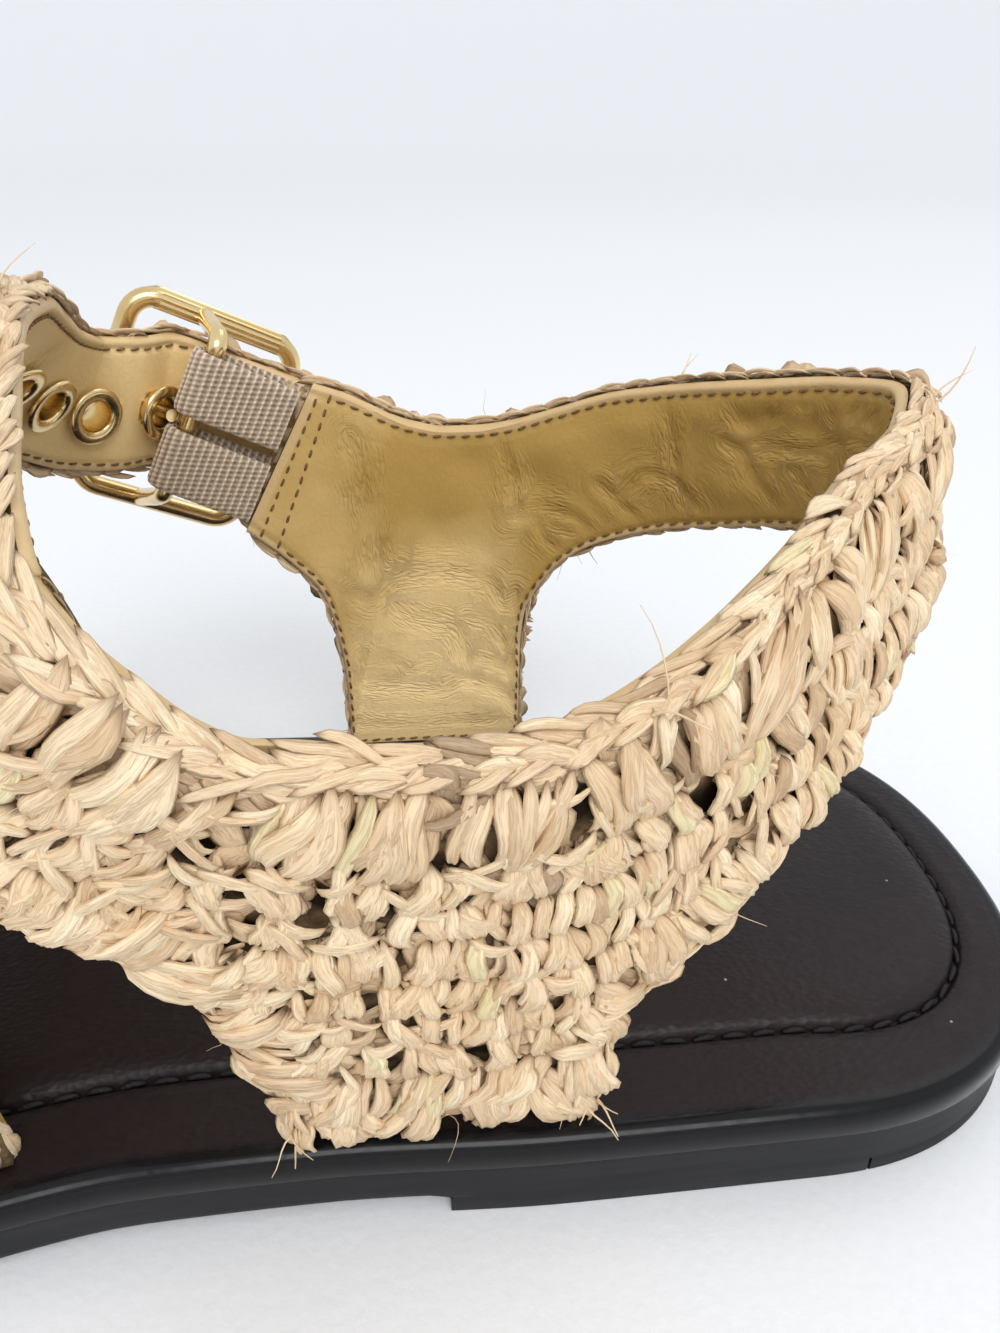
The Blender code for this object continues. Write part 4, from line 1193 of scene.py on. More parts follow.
def vampStrands():
    store = []
    wide, clear, pitch = puffStitch["wide"], rimStitch["clear"], knotStitch["pitch"]
    spillWide, spillTall = puffStitch["spill"]
    a = np.linspace(-0.995, 0.995, 1500)

    def level(station):
        return np.full_like(a, station)

    for rear, front in vamp["bands"]:
        rimChain(store, vampFrame, a, level(front), vampUp, 1.0)
        rimChain(store, vampFrame, a, level(rear), vampUp, -1.0)
        tall = min(puffStitch["bandTall"], (front - rear - puffStitch["bandEdges"]) * puffStitch["bandShare"])
        for spot, _ in spotsAlong(vampFrame, a, level(front - clear - tall / 2), wide, vampUp):
            puff(store, spot, wide * spillWide, tall * spillTall)
        row = front - clear - tall - knotStitch["rowGap"]
        while row > rear + knotStitch["bandEnd"]:
            for spot, _ in spotsAlong(vampFrame, a, level(row), pitch, vampUp):
                knot(store, spot)
            row -= knotStitch["rowPitch"]
        for row in np.arange(rear + bed["in"], front - bed["bandEnd"], bed["row"]):
            bedRow(store, vampFrame, a, level(row), vampUp, np.ones(len(a), bool))
        spread = lambda: (dice.uniform(-0.93, 0.93), dice.uniform(rear + 2.0, front - 2.0))
        looseLeaves(store, vampFrame, spread, loose["inBand"])
    end = float(barShare(vamp["barEnd"]))
    rimChain(store, vampFrame, np.linspace(-end, end, 200), np.full(200, vamp["barEnd"]), vampUp, -1.0)
    for start, end in zip(vampStops[:-1:2], vampStops[1:-1:2]):
        station = np.linspace(start, end, 400)
        bar = barShare(station)
        for side in (1.0, -1.0):
            rimChain(store, vampFrame, side * bar, station, inward, side)
        for share in knotStitch["barRows"]:
            for spot, _ in spotsAlong(vampFrame, bar * share, station, pitch, inward):
                knot(store, spot)
    return store


# how the strands are shared out, in millimetres from the heel and from the middle
sharing = {"lean": 0.12, "firstSeed": 3, "strapFrom": 90.0, "strapEnd": (57.0, -36.6), "toeFrom": 150.0}


def layRaffia():
    shapes = shapeCollection("strandShapes", [
        strandObject(k, *kind) for k, kind in enumerate(strandShape["kinds"])])
    quarter, front = quarterStrands(), vampStrands()
    print("strands:", len(quarter), "on the quarter and strap,", len(front), "on the front bands")
    inner, outer, strap, rear, toe = [], [], [], [], []
    endX, endY = sharing["strapEnd"]
    for strand in quarter:
        x, y, _ = strand[0]
        onStrap = x >= sharing["strapFrom"] or (y < endY and x > endX)
        (strap if onStrap else inner if y > 0.0 else outer).append(strand)
    for strand in front:
        (rear if strand[0][0] < sharing["toeFrom"] else toe).append(strand)
    pieces = (
        ("inner_quarter_raffia", inner, ("quarter_and_strap",)), ("outer_quarter_raffia", outer, ()),
        ("strap_raffia", strap, ()), ("rear_bands_raffia", rear, ("vamp",)), ("toe_bands_raffia", toe, ()),
    )
    for seed, (name, places, nodes) in enumerate(pieces, sharing["firstSeed"]):
        layPiece(name, places, shapes, "straw", nodes, lean=sharing["lean"], seed=seed)
    dropCollection(shapes)


layRaffia()


# Web under the strands, and the lining on its inner face
web = {
    "columns": 361, "rows": 30, "inset": 1.1, "back": 1.0, "front": (0.1, 0.55), "softEdge": 1.5,
    "eyeletHole": 2.5, "holeWide": 2.4, "holeFade": 1.6, "vampBack": 0.9, "vampFront": 0.6,
}
lining = {
    "inset": 0.5, "edgeRound": 0.8, "thick": 1.1, "columnsPerRib": 14, "rows": 42, "eyeletHole": 2.2,
    "stitchIn": 1.05, "stitchPitch": 1.7, "stitchLength": 1.1, "stitchWidth": 0.32, "stitchPull": 0.25,
    "pullWide": 0.4, "stitchSkew": 0.12, "seamRibs": (0.28, 0.66), "vampBack": 0.95, "vampPaintedLight": 0.5,
    "flatEdge": (1.5, 2.5), "stand": 0.05, "least": 0.1, "paintedLightFrom": 0.2, "paintedLightOver": 0.65,
    # a wrinkle's groove and lips, as shares of its depth and width, and how far its fine folds reach
    "groove": (0.62, 0.75), "lip": (0.45, 1.9, 0.9), "fine": (1.8, 0.9),
    # wrinkles: path in ribs and shares, then depth and width in millimetres
    "wrinkles": (
        (((6.84, 0.94), (7.11, 0.79), (7.39, 0.62)), 0.4, 1.0),
        (((7.39, 0.62), (8.84, 0.42), (9.6, 0.28), (10.18, 0.07)), 0.5, 1.1),
        (((6.88, 0.65), (8.53, 0.40), (9.64, 0.18)), 0.35, 0.8), (((8.43, 0.39), (9.44, 0.07)), 0.3, 0.8),
        (((2.9, 0.30), (4.37, 0.56), (5.02, 0.57), (5.68, 0.55), (7.2, 0.28)), 0.45, 1.1),
        (((4.37, 0.48), (4.74, 0.43), (5.16, 0.41), (5.32, 0.35), (5.38, 0.23)), 0.4, 0.9),
        (((5.39, 0.43), (5.67, 0.41), (7.0, 0.15)), 0.35, 0.8),
        (((5.39, 0.30), (5.61, 0.28), (6.52, 0.21)), 0.4, 0.9),
        (((3.6, 0.26), (4.45, 0.30), (4.68, 0.25), (4.89, 0.27)), 0.35, 0.8),
        (((3.8, 0.23), (4.6, 0.22), (5.02, 0.20), (5.33, 0.23), (6.5, 0.08)), 0.45, 1.0),
        (((4.1, 0.09), (4.73, 0.07), (5.6, 0.09)), 0.35, 0.9), (((3.58, 0.61), (4.39, 0.59)), 0.25, 0.8),
        (((1.6, 0.8), (2.6, 0.62), (3.6, 0.5)), 0.2, 1.2),
        (((11.19, 0.90), (11.30, 0.80), (11.37, 0.62), (11.46, 0.39), (11.75, 0.18)), 0.5, 0.8),
        (((11.97, 0.97), (12.06, 0.83), (12.17, 0.72)), 0.55, 0.9),
        (((12.01, 0.61), (12.21, 0.53), (12.32, 0.40), (12.64, 0.18)), 0.6, 1.0),
        (((12.55, 1.0), (12.64, 0.91), (12.72, 0.82)), 0.55, 0.7), (((12.50, 0.86), (12.42, 0.74)), 0.4, 0.7),
        (((13.27, 1.0), (13.35, 0.91), (13.41, 0.84), (13.33, 0.77)), 0.55, 0.7),
        (((13.0, 0.87), (13.13, 0.76)), 0.4, 0.7), (((13.69, 0.96), (13.77, 0.85), (13.63, 0.74)), 0.5, 0.7),
        (((12.29, 0.59), (12.55, 0.57), (12.95, 0.55), (13.28, 0.61)), 0.45, 0.7),
        (((12.32, 0.53), (12.69, 0.53), (13.12, 0.51)), 0.35, 0.6),
        (((12.75, 0.43), (12.95, 0.32), (13.06, 0.27)), 0.35, 0.7),
        (((10.61, 0.34), (10.97, 0.44), (11.42, 0.36), (11.57, 0.2)), 0.4, 0.9),
        (((10.16, 0.43), (10.53, 0.29), (10.9, 0.12)), 0.5, 1.0),
        (((13.67, 0.65), (13.34, 0.60), (13.40, 0.35), (13.42, 0.1)), 0.35, 0.35),
        (((14.7, 0.9), (14.8, 0.3)), 0.45, 0.8), (((15.3, 0.95), (15.4, 0.5), (15.3, 0.15)), 0.5, 0.9),
        (((16.3, 0.9), (16.4, 0.2)), 0.45, 1.0), (((17.6, 0.85), (17.5, 0.25)), 0.4, 1.2),
        (((18.8, 0.8), (19.3, 0.3)), 0.35, 1.1), (((21.6, 0.62), (22.6, 0.55), (23.6, 0.58)), 0.4, 1.1),
        (((22.2, 0.36), (22.9, 0.32), (23.8, 0.35)), 0.4, 1.0),
        (((22.3, 0.16), (23.0, 0.19), (23.7, 0.15)), 0.35, 0.9), (((25.5, 0.6), (26.6, 0.42)), 0.3, 1.2),
        (((28.6, 0.75), (29.6, 0.35)), 0.35, 1.2), (((31.4, 0.85), (31.6, 0.2)), 0.3, 1.1),
        (((33.5, 0.9), (33.4, 0.1)), 0.3, 1.2), (((35.2, 0.9), (35.3, 0.15)), 0.3, 1.1),
    ),
    # soft hollows and swellings: rib, share, depth (swelling below zero), radius
    "hollows": (
        (8.15, 0.64, 0.7, 3.2), (5.01, 0.68, 0.6, 3.4), (5.72, 0.91, 0.4, 3.0), (12.35, 0.70, 0.8, 3.0),
        (12.95, 0.63, 0.6, 2.6), (9.3, 0.72, -0.5, 4.5), (10.73, 0.81, -0.5, 3.5), (11.67, 0.88, -0.5, 3.0),
        (12.06, 0.33, -0.5, 2.4), (4.4, 0.36, -0.45, 3.0), (5.5, 0.14, -0.4, 2.6), (13.55, 0.8, 0.4, 2.2),
        (2.3, 0.45, 0.4, 4.5), (6.3, 0.72, -0.4, 4.0), (15.8, 0.6, 0.6, 3.4), (17.0, 0.55, -0.5, 3.6),
        (20.4, 0.6, 0.5, 4.5), (23.0, 0.46, -0.5, 4.0),
    ),
    # rib, painted light and shade at the lower and at the upper edge
    "pale": (
        (0.0, 0.60, 0.60), (2.5, 0.62, 0.48), (4.0, 1.0, 0.44), (6.0, 1.0, 0.42), (8.0, 0.6, 0.42),
        (10.0, 0.34, 0.38), (11.5, 0.26, 0.34), (13.0, 0.30, 0.36), (14.0, 0.28, 0.32), (16.0, 0.28, 0.32),
        (20.0, 0.50, 0.45), (23.0, 0.85, 0.50), (27.0, 0.6, 0.6), (36.0, 0.85, 0.85), (45.0, 0.85, 0.85),
    ),
}


# height of the wrinkles and hollows, and for each point its place along and across the nearest wrinkle
def lieOfLining(points, outs):
    deep, wide = lining["groove"]
    lipRise, lipAt, lipWide = lining["lip"]
    fineShare, fineMore = lining["fine"]
    total = np.zeros(points.shape[:-1])
    fold = np.zeros(points.shape)
    for number, (path, depth, width) in enumerate(lining["wrinkles"]):
        steps = np.linspace(0.0, len(path) - 1.0, 8 * (len(path) - 1) + 1)
        line = wallPoint(*along(np.array(path), steps).T)
        near = np.full(points.shape[:-1], 1e9)
        place, aside = np.zeros_like(near), np.zeros_like(near)
        before = 0.0
        for a, b in zip(line, line[1:]):
            length = np.linalg.norm(b - a)
            share = np.clip(((points - a) @ (b - a)) / length ** 2, 0.0, 1.0)
            gap = points - a - share[..., None] * (b - a)
            far = np.linalg.norm(gap, axis=-1)
            closer = far < near
            side = np.sign(np.sum(np.cross(outs, b - a) * gap, axis=-1))
            near = np.where(closer, far, near)
            place = np.where(closer, before + share * length, place)
            aside = np.where(closer, side * far, aside)
            before += length
        x = near / (wide * width)
        total += deep * depth * (lipRise * np.exp(-((x - lipAt) / lipWide) ** 2) - np.exp(-x ** 2))
        strength = np.exp(-(near / (fineShare * width + fineMore)) ** 2)
        stronger = strength > fold[..., 2]
        rows = np.stack((place + 37.0 * number, aside + 11.0 * number, strength), -1)  # no two wrinkles alike
        fold = np.where(stronger[..., None], rows, fold)
    for rib, share, depth, radius in lining["hollows"]:
        away = np.linalg.norm(points - wallSpot(rib, share)[0], axis=-1)
        total -= depth * np.exp(-(away / radius) ** 2)
    return total, fold


# ribs and shares of a grid on the wall, closer at its edges, and the distance to the nearest edge
def wallGrid(columns, rows, inset):
    t = np.linspace(0.0, lastRib, columns)[:, None] * np.ones((1, rows))
    share = (1 - np.cos(np.linspace(0.0, math.pi, rows))) / 2 * 0.5 + np.linspace(0.0, 1.0, rows) * 0.5
    height = wallHeight(t)
    w = (inset + share * (height - 2 * inset)) / height
    edge = np.minimum(share, 1 - share) * (height - 2 * inset)
    return t, w, edge


def cutEyelets(piece, radius):
    parts = []
    turn = circle(32)[:, None]
    for t in eyeletRibs:
        centre, first, second, out = eyeletAxes(t)
        ring = radius * (np.cos(turn) * first + np.sin(turn) * second)
        parts.append(tube(np.array((centre - out * 6, centre + out * 6)), np.stack((ring, ring))))
    drill = addObject("drill", *joined(parts), "gold")
    cut = piece.modifiers.new("holes", "BOOLEAN")
    cut.operation = "DIFFERENCE"
    cut.solver = "EXACT"
    cut.object = drill
    bakeModifiers(piece)
    bpy.data.objects.remove(drill, do_unlink=True)


def buildQuarterCore():
    t, w, edge = wallGrid(web["columns"], web["rows"], web["inset"])
    points, out = wallFrame(t, w)
    soft = np.clip(edge / web["softEdge"], 0.0, 1.0)[..., None]
    thin, full = web["front"]
    points, faces, _ = slab(points - out * web["back"], points + out * (thin + full * soft))
    piece = addObject("quarter_web", points, faces, "shadow")
    cutEyelets(piece, web["eyeletHole"])
    corners = np.empty(len(piece.data.vertices) * 3)
    piece.data.vertices.foreach_get("co", corners)
    corners = corners.reshape(-1, 3)
    # near black painted shade on the web around each hole, fading outwards
    dark = np.zeros(len(corners))
    for rib, share, radius in crochet["holes"]:
        away = np.linalg.norm(corners - toWorld(wallSpot(rib, share)[0]), axis=1) / mm
        dark = np.maximum(dark, np.clip((radius + web["holeWide"] - away) / web["holeFade"], 0.0, 1.0))
    addFact(piece.data, "hole", dark)
    dress(piece)


def buildLining():
    t, w, edge = wallGrid(int(lastRib) * lining["columnsPerRib"] + 1, lining["rows"], lining["inset"])
    points, out = wallFrame(t, w)
    r = lining["edgeRound"]
    drop = r * (1 - np.sqrt(1 - (1 - np.clip(edge / r, 0.0, 1.0)) ** 2))
    fromSewing = (edge - lining["stitchIn"]) / lining["pullWide"]
    drop += lining["stitchPull"] * np.exp(-fromSewing ** 2)  # pulled in by the sewing
    crease, fold = lieOfLining(points, out)
    flat, fade = lining["flatEdge"]
    inside = np.clip((edge - flat) / fade, 0.0, 1.0)
    fold[..., 2] *= inside
    lift = halfWall(t) + lining["stand"] - drop + crease * inside
    thin = halfWall(t) - lining["thick"]
    back = points - out * thin[..., None]
    face = points - out * np.maximum(lift, thin + lining["least"])[..., None]
    # painted light and shade along the wall, blended from the lower to the upper edge
    rib, low, high = np.array(lining["pale"]).T
    share = np.clip((w - lining["paintedLightFrom"]) / lining["paintedLightOver"], 0.0, 1.0)
    pale = np.interp(t, rib, low) * (1 - share) + np.interp(t, rib, high) * share
    fromEnd = np.linalg.norm(points - points[:1], axis=-1)
    facts = {"fold": fold.reshape(-1, 3), "edge": np.minimum(edge, fromEnd).ravel(), "pale": pale.ravel()}
    both = {fact: np.concatenate((values, values)) for fact, values in facts.items()}
    piece = addObject("tan_lining", *slab(face, back)[:2], "lining", 60, both)
    cutEyelets(piece, lining["eyeletHole"])
    dress(piece)


# Sewing: one rounded stitch, laid along a line by the same tree as the strands
stitchShape = {"rings": 5, "sides": 6, "half": 0.42, "taper": 0.6, "arch": 0.35}


def stitchObject(name):
    rings, sides, half = stitchShape["rings"], stitchShape["sides"], stitchShape["half"]
    points = [(-0.5, 0.0, 0.0)]
    for s in np.linspace(-half, half, rings):
        r = 0.5 * (1 - (2 * abs(s)) ** 3 * stitchShape["taper"])
        arch = stitchShape["arch"] * (1 - (2 * s) ** 2)
        points += [(s, r * math.cos(a), r * math.sin(a) + arch) for a in circle(sides)]
    points.append((0.5, 0.0, 0.0))
    mesh = bpy.data.meshes.new(name)
    mesh.from_pydata(points, [], spindleFaces(rings, sides))
    mesh.shade_smooth()
    return bpy.data.objects.new(name, mesh)


# places of the stitches along a line: the seam's dictionary has their pitch, length and width
def stitchLine(points, outs, seam, skew=0.0):
    pitch, length, width = seam["stitchPitch"], seam["stitchLength"], seam["stitchWidth"]
    far = walked(points)
    rows = []
    for d in np.arange(pitch / 2, far[-1] - pitch / 4, pitch):
        k = int(np.clip(np.searchsorted(far, d), 1, len(far) - 2))
        f = (d - far[k - 1]) / max(far[k] - far[k - 1], 1e-9)
        spot = points[k - 1] * (1 - f) + points[k] * f
        run = unit(points[k + 1] - points[k - 1])
        out = unit(outs[k] - run * np.dot(outs[k], run))
        run = unit(run + np.cross(out, run) * (skew + dice.normal(0.0, 0.05)))
        rows.append((spot, run, out, (length, width, width), 0.5, 0))
    return rows


def liningSewing():
    rows = []
    t = np.linspace(0.8, lastRib - 0.6, 2600)
    inset = lining["inset"] + lining["stitchIn"]
    t = t[wallHeight(t) > 2 * inset + 2.0]
    low = inset / wallHeight(t)
    for w in (low, 1 - low):
        points, out = wallFrame(t, w)
        rows += stitchLine(points - out * halfWall(t)[:, None], -out, lining, lining["stitchSkew"])
    w = np.linspace(0.04, 0.96, 300)
    for rib in lining["seamRibs"]:
        points, out = wallFrame(np.full_like(w, rib), w)
        rows += stitchLine(points - out * halfWall(rib), -out, lining)
    return rows


def grooveSewing():
    ring = soleRing()
    line = pulledIn(ring, padInset(ring[:, 0]))
    points = np.column_stack((line, footbedTop(line[:, 0]) - footbed["grooveDepth"] + 0.25))
    points = np.vstack((points, points[:2]))
    return stitchLine(points, np.tile((0.0, 0.0, 1.0), (len(points), 1)), footbed, 0.05)


def buildVampWeb():
    stations, whole = [], []
    for k, (start, end) in enumerate(zip(vampStops, vampStops[1:])):
        steps = max(4, int((end - start) / vamp["webStep"]))
        stations += [start + (end - start) * i / steps for i in range(steps)]
        whole += [k % 2 == 1] * steps  # a band, or the bar alone
    stations = np.array(stations + [vampStops[-1]])
    side = np.linspace(0.0, 1.0, vamp["webSide"])[1:]
    bar = barShare(stations)[:, None]
    right = bar + (1 - bar) * side[None, :]
    middle = bar * np.linspace(-1.0, 1.0, vamp["webMiddle"])[None, :]
    a = np.hstack((-right[:, ::-1], middle, right))
    kept = np.zeros((len(stations) - 1, a.shape[1] - 1), bool)
    kept[np.array(whole), :] = True
    kept[:, len(side):len(side) + vamp["webMiddle"] - 1] = True
    points, out = vampFrame(a, stations[:, None] * np.ones_like(a))
    skin, faces, _ = slab(points - out * web["vampBack"], points + out * web["vampFront"], kept)
    dress(addObject("vamp_web", skin, faces, "shadow"))
    skin, faces, used = slab(points - out * vamp["thick"] / 2, points - out * lining["vampBack"], kept)
    count = len(used)
    # the front bands' lining at one even level of painted light
    facts = {"fold": np.zeros((count, 3)), "edge": np.full(count, 9.0),
             "pale": np.full(count, lining["vampPaintedLight"])}
    dress(addObject("vamp_lining", skin, faces, "lining", 60, facts))


buildQuarterCore()
buildLining()
buildVampWeb()
sewingShape = shapeCollection("sewingShape", [stitchObject("stitch")])
layPiece("lining_sewing", liningSewing(), sewingShape, "sewing")
layPiece("groove_sewing", grooveSewing(), sewingShape, "blackSewing")
dropCollection(sewingShape)


# Buckle and prong
buckle = {
    "centre": (89.0, -33.6, 55.0), "across": (-0.437, -0.05, 0.898), "along": (0.852, 0.29, 0.43),
    "length": 23.0, "height": 27.0, "corner": 3.0, "wire": 1.2, "lift": 9.6, "drop": 2.0, "back": 2.0,
    "bar": 1.1, "prong": 0.75, "play": 0.3, "taper": 0.35, "over": 0.45,
    "reeds": 14, "reedDepth": 0.07, "reedSwell": 0.06,
    "wireSides": 42, "barSides": 20, "prongSides": 16, "prongSteps": 65,
}


def buckleAxes():
    across = unit(np.array(buckle["across"]))
    out = unit(np.cross(buckle["along"], across))
    return np.array(buckle["centre"]), unit(np.cross(across, out)), across, out


def roundSections(radius, first, second, sides):
    turn = circle(sides)[None, :, None]
    wide = np.cos(turn) * first[:, None, :] + np.sin(turn) * second[:, None, :]
    return wide * np.broadcast_to(radius, (len(first), sides))[..., None]


def buildBuckle():
    centre, run, across, out = buckleAxes()
    lift, drop, wire, corner = (buckle[key] for key in ("lift", "drop", "wire", "corner"))
    middle = centre + out * lift - across * drop - run * buckle["back"]
    halfRun, halfAcross = buckle["length"] / 2 - wire, buckle["height"] / 2 - wire
    path, spokes, reeded = [], [], []
    for quarter, (sx, sy) in enumerate(((1, 1), (-1, 1), (-1, -1), (1, -1))):
        turning = middle + run * sx * (halfRun - corner) + across * sy * (halfAcross - corner)
        for i in range(9):
            a = math.pi / 2 * (quarter + i / 8)
            spoke = run * math.cos(a) + across * math.sin(a)
            path.append(turning + spoke * corner)
            spokes.append(spoke)
            # the upper side
            reeded.append(1.0 if (quarter == 0 and i > 6) or (quarter == 1 and i < 2) else 0.0)
    reeds = np.cos(buckle["reeds"] * circle(buckle["wireSides"]))[None, :]
    radius = wire * (1 + np.array(reeded)[:, None] * (buckle["reedSwell"] + buckle["reedDepth"] * reeds))
    sections = roundSections(radius, np.array(spokes), np.tile(out, (len(path), 1)), buckle["wireSides"])
    frameTube = tube(np.array(path), sections, True)

    # the bar: reach across, height over the seat
    reach = halfAcross
    stops = np.array(((-reach, lift), (-reach + 1.8, lift * 0.6), (-reach + 4.0, 1.3), (-reach + 5.3, 0.0),
                      (reach - 1.6, 0.0), (reach - 0.5, 0.5), (reach, 1.6), (reach, lift)))
    fine = along(stops, np.linspace(0.0, 7.0, 57))
    barPath = centre + across * (fine[:, :1] - drop) + out * fine[:, 1:]
    ahead = unit(np.gradient(barPath, axis=0))
    side = np.tile(run, (len(barPath), 1))
    barTube = tube(barPath, roundSections(buckle["bar"], side, np.cross(ahead, side), buckle["barSides"]))
    piece = addObject("buckle_frame_gold", *joined((frameTube, barTube)), "gold", 60)
    dress(piece, ("buckle_frame",))

    # the prong: from the bar through its eyelet and over the frame
    hole, _, _, holeOut = eyeletAxes(wall["prongRib"])
    front = middle + run * halfRun
    over = out * (wire + buckle["prong"] + buckle["over"])
    stops = np.array((
        centre + run * (buckle["bar"] + buckle["play"] + buckle["prong"]),
        hole - holeOut * 2.6, hole + holeOut * 3.2,
        front + over * 1.25 - run * 2.9, front + over * 1.1 + run * 2.2,
    ))
    steps = buckle["prongSteps"]
    line = along(stops, np.linspace(0.0, 4.0, steps))
    ahead = unit(np.gradient(line, axis=0))
    side = unit(np.cross(ahead, across))
    radius = buckle["prong"] * (1 - buckle["taper"] * np.clip(np.linspace(-3.0, 1.0, steps), 0.0, 1.0))
    sections = roundSections(radius[:, None], side, np.cross(side, ahead), buckle["prongSides"])
    dress(addObject("buckle_prong_gold", *tube(line, sections), "gold", 60), ("buckle_prong",))


eyelet = {"bore": 1.8, "barrel": 2.3, "flange": 3.3, "lip": 0.5, "sides": 48, "roll": 0.75, "rim": 0.5}


def buildEyelets():
    parts = []
    turn = circle(eyelet["sides"])[:, None]
    bore, flange, lip, roll, rim = (eyelet[key] for key in ("bore", "flange", "lip", "roll", "rim"))
    bead = [(bore + roll - roll * math.cos(a), lip * math.sin(a)) for a in np.linspace(0.0, math.pi / 2, 5)]
    bead += [(flange - rim + rim * math.sin(a), lip * (0.25 + 0.75 * math.cos(a)))
             for a in np.linspace(0.0, math.pi / 2, 6)]
    for number, t in enumerate(eyeletRibs, 1):
        centre, first, second, out = eyeletAxes(t)
        node = frame["nodes"][f"eyelet_{number}"]
        reach = np.array([v.co for v in node.data.vertices]) / mm + heelShift
        heights = (reach - centre) @ out
        low, high = heights.min() + lip, heights.max() - lip
        face = [(r, high + h) for r, h in bead]
        rear = [(r, low - h) for r, h in bead][::-1]
        profile = np.array(face + [(eyelet["barrel"], high), (eyelet["barrel"], low)] + rear)
        spoke = np.cos(turn) * first + np.sin(turn) * second
        sections = spoke[:, None, :] * profile[None, :, :1] + out * profile[None, :, 1:]
        parts.append(tube(np.tile(centre, (len(turn), 1)), sections, True))
    piece = addObject("eyelet_rings", *joined(parts), "gold", 50)
    dress(piece, tuple(f"eyelet_{k + 1}" for k in range(wall["eyelets"])))


# an elastic loop: from the seam, round the buckle's bar and back
def buildElastic(name, low, high, node):
    centre, _, across, _ = buckleAxes()
    gap = centre - wallSpot(0.0, 0.5)[0]
    run = unit(gap)
    out = unit(np.cross(run, across))
    fold = elastic["thick"] / 2 + buckle["bar"] + buckle["play"]
    leaf = np.linspace(0.6 - np.linalg.norm(gap), 0.0, 120)[:-1, None]
    bend = np.linspace(0.0, math.pi, 60)[:, None]
    bent = run * np.sin(bend) - out * np.cos(bend)
    path = np.vstack((run * leaf - out * fold, bent * fold, run * leaf[::-1] + out * fold))
    normal = np.vstack((np.tile(-out, (len(leaf), 1)), bent, np.tile(out, (len(leaf), 1))))
    far = walked(path)
    ripple = 0.5 + 0.5 * np.cos(2 * math.pi * far / elastic["rib"])
    width = np.linspace(low, high, elastic["across"])
    edge = np.clip(np.minimum(width - low, high - width) / 0.5, 0.0, 1.0)
    half = elastic["thick"] / 2 - elastic["ribDepth"] * (1 - ripple[:, None])
    half = half * (0.55 + 0.45 * np.sqrt(edge)[None, :])
    base = centre + path[:, None, :] + across * width[None, :, None]
    rise = normal[:, None, :] * half[..., None]
    points, faces, used = slab(base - rise, base + rise)
    lie = np.stack(np.broadcast_arrays(far[:, None], width[None, :], 0.0), -1).reshape(-1, 3)
    piece = addObject(name, points, faces, "elastic", 70, {"lie": np.vstack((lie, lie))[used]})
    dress(piece, (node,))


buildBuckle()
buildEyelets()
buildElastic("elastic_lower_loop", -elastic["width"] / 2, -elastic["slit"] / 2, "elastic_lower")
buildElastic("elastic_upper_loop", elastic["slit"] / 2, elastic["width"] / 2, "elastic_upper")


# Loose ends: fine fibres and a few split strands where the crochet was cut
frays = {
    # rib, share across, how many, length, spread
    "tufts": (
        (22.1, 0.02, 6, 3.0, 0.8), (23.0, 0.0, 5, 4.5, 0.4), (24.0, 0.0, 5, 2.5, 0.8),
        (4.0, 0.0, 4, 2.5, 0.7), (6.0, 0.0, 4, 2.5, 0.7), (44.9, 0.5, 18, 4.5, 0.9),
        (43.2, 0.98, 8, 3.5, 0.8), (20.4, 1.0, 3, 5.0, 0.6), (14.3, 1.0, 2, 4.0, 0.6),
        (9.5, 0.0, 4, 3.0, 0.7), (0.05, 0.05, 6, 3.0, 0.8), (11.4, 1.0, 2, 3.0, 0.6),
        (33.0, 1.0, 4, 3.0, 0.7),
    ),
    "radius": 0.09, "steps": 7, "sides": 4, "tones": (0.5, 0.93), "leafSpot": 0.47,
    "bow": (0.15, 0.5), "curl": (-0.3, 0.3), "waves": 5.0, "taper": 0.75,
    "along": 0.12, "outward": (0.1, 0.9), "root": (0.9, 1.3), "least": 1.6, "reach": (0.4, 1.0),
    "thick": (0.6, 2.0),
    "strays": 90, "strayReach": (2.0, 4.0), "strayThick": (0.4, 0.9), "strayRoot": 0.8,
}


def fibre(start, heading, length, radius):
    bow = unit(np.cross(heading, dice.normal(0, 1, 3))) * length * dice.uniform(*frays["bow"])
    curl = np.cross(heading, bow) * dice.uniform(*frays["curl"])
    s = np.linspace(0.0, 1.0, frays["steps"])[:, None]
    path = start + heading * length * s + bow * s ** 2 + curl * np.sin(frays["waves"] * s)
    ahead = unit(np.gradient(path, axis=0))
    side = unit(np.cross(ahead, (0.3, 0.5, 0.81)))
    size = radius * (1 - frays["taper"] * s)
    return tube(path, roundSections(size, side, np.cross(ahead, side), frays["sides"]))


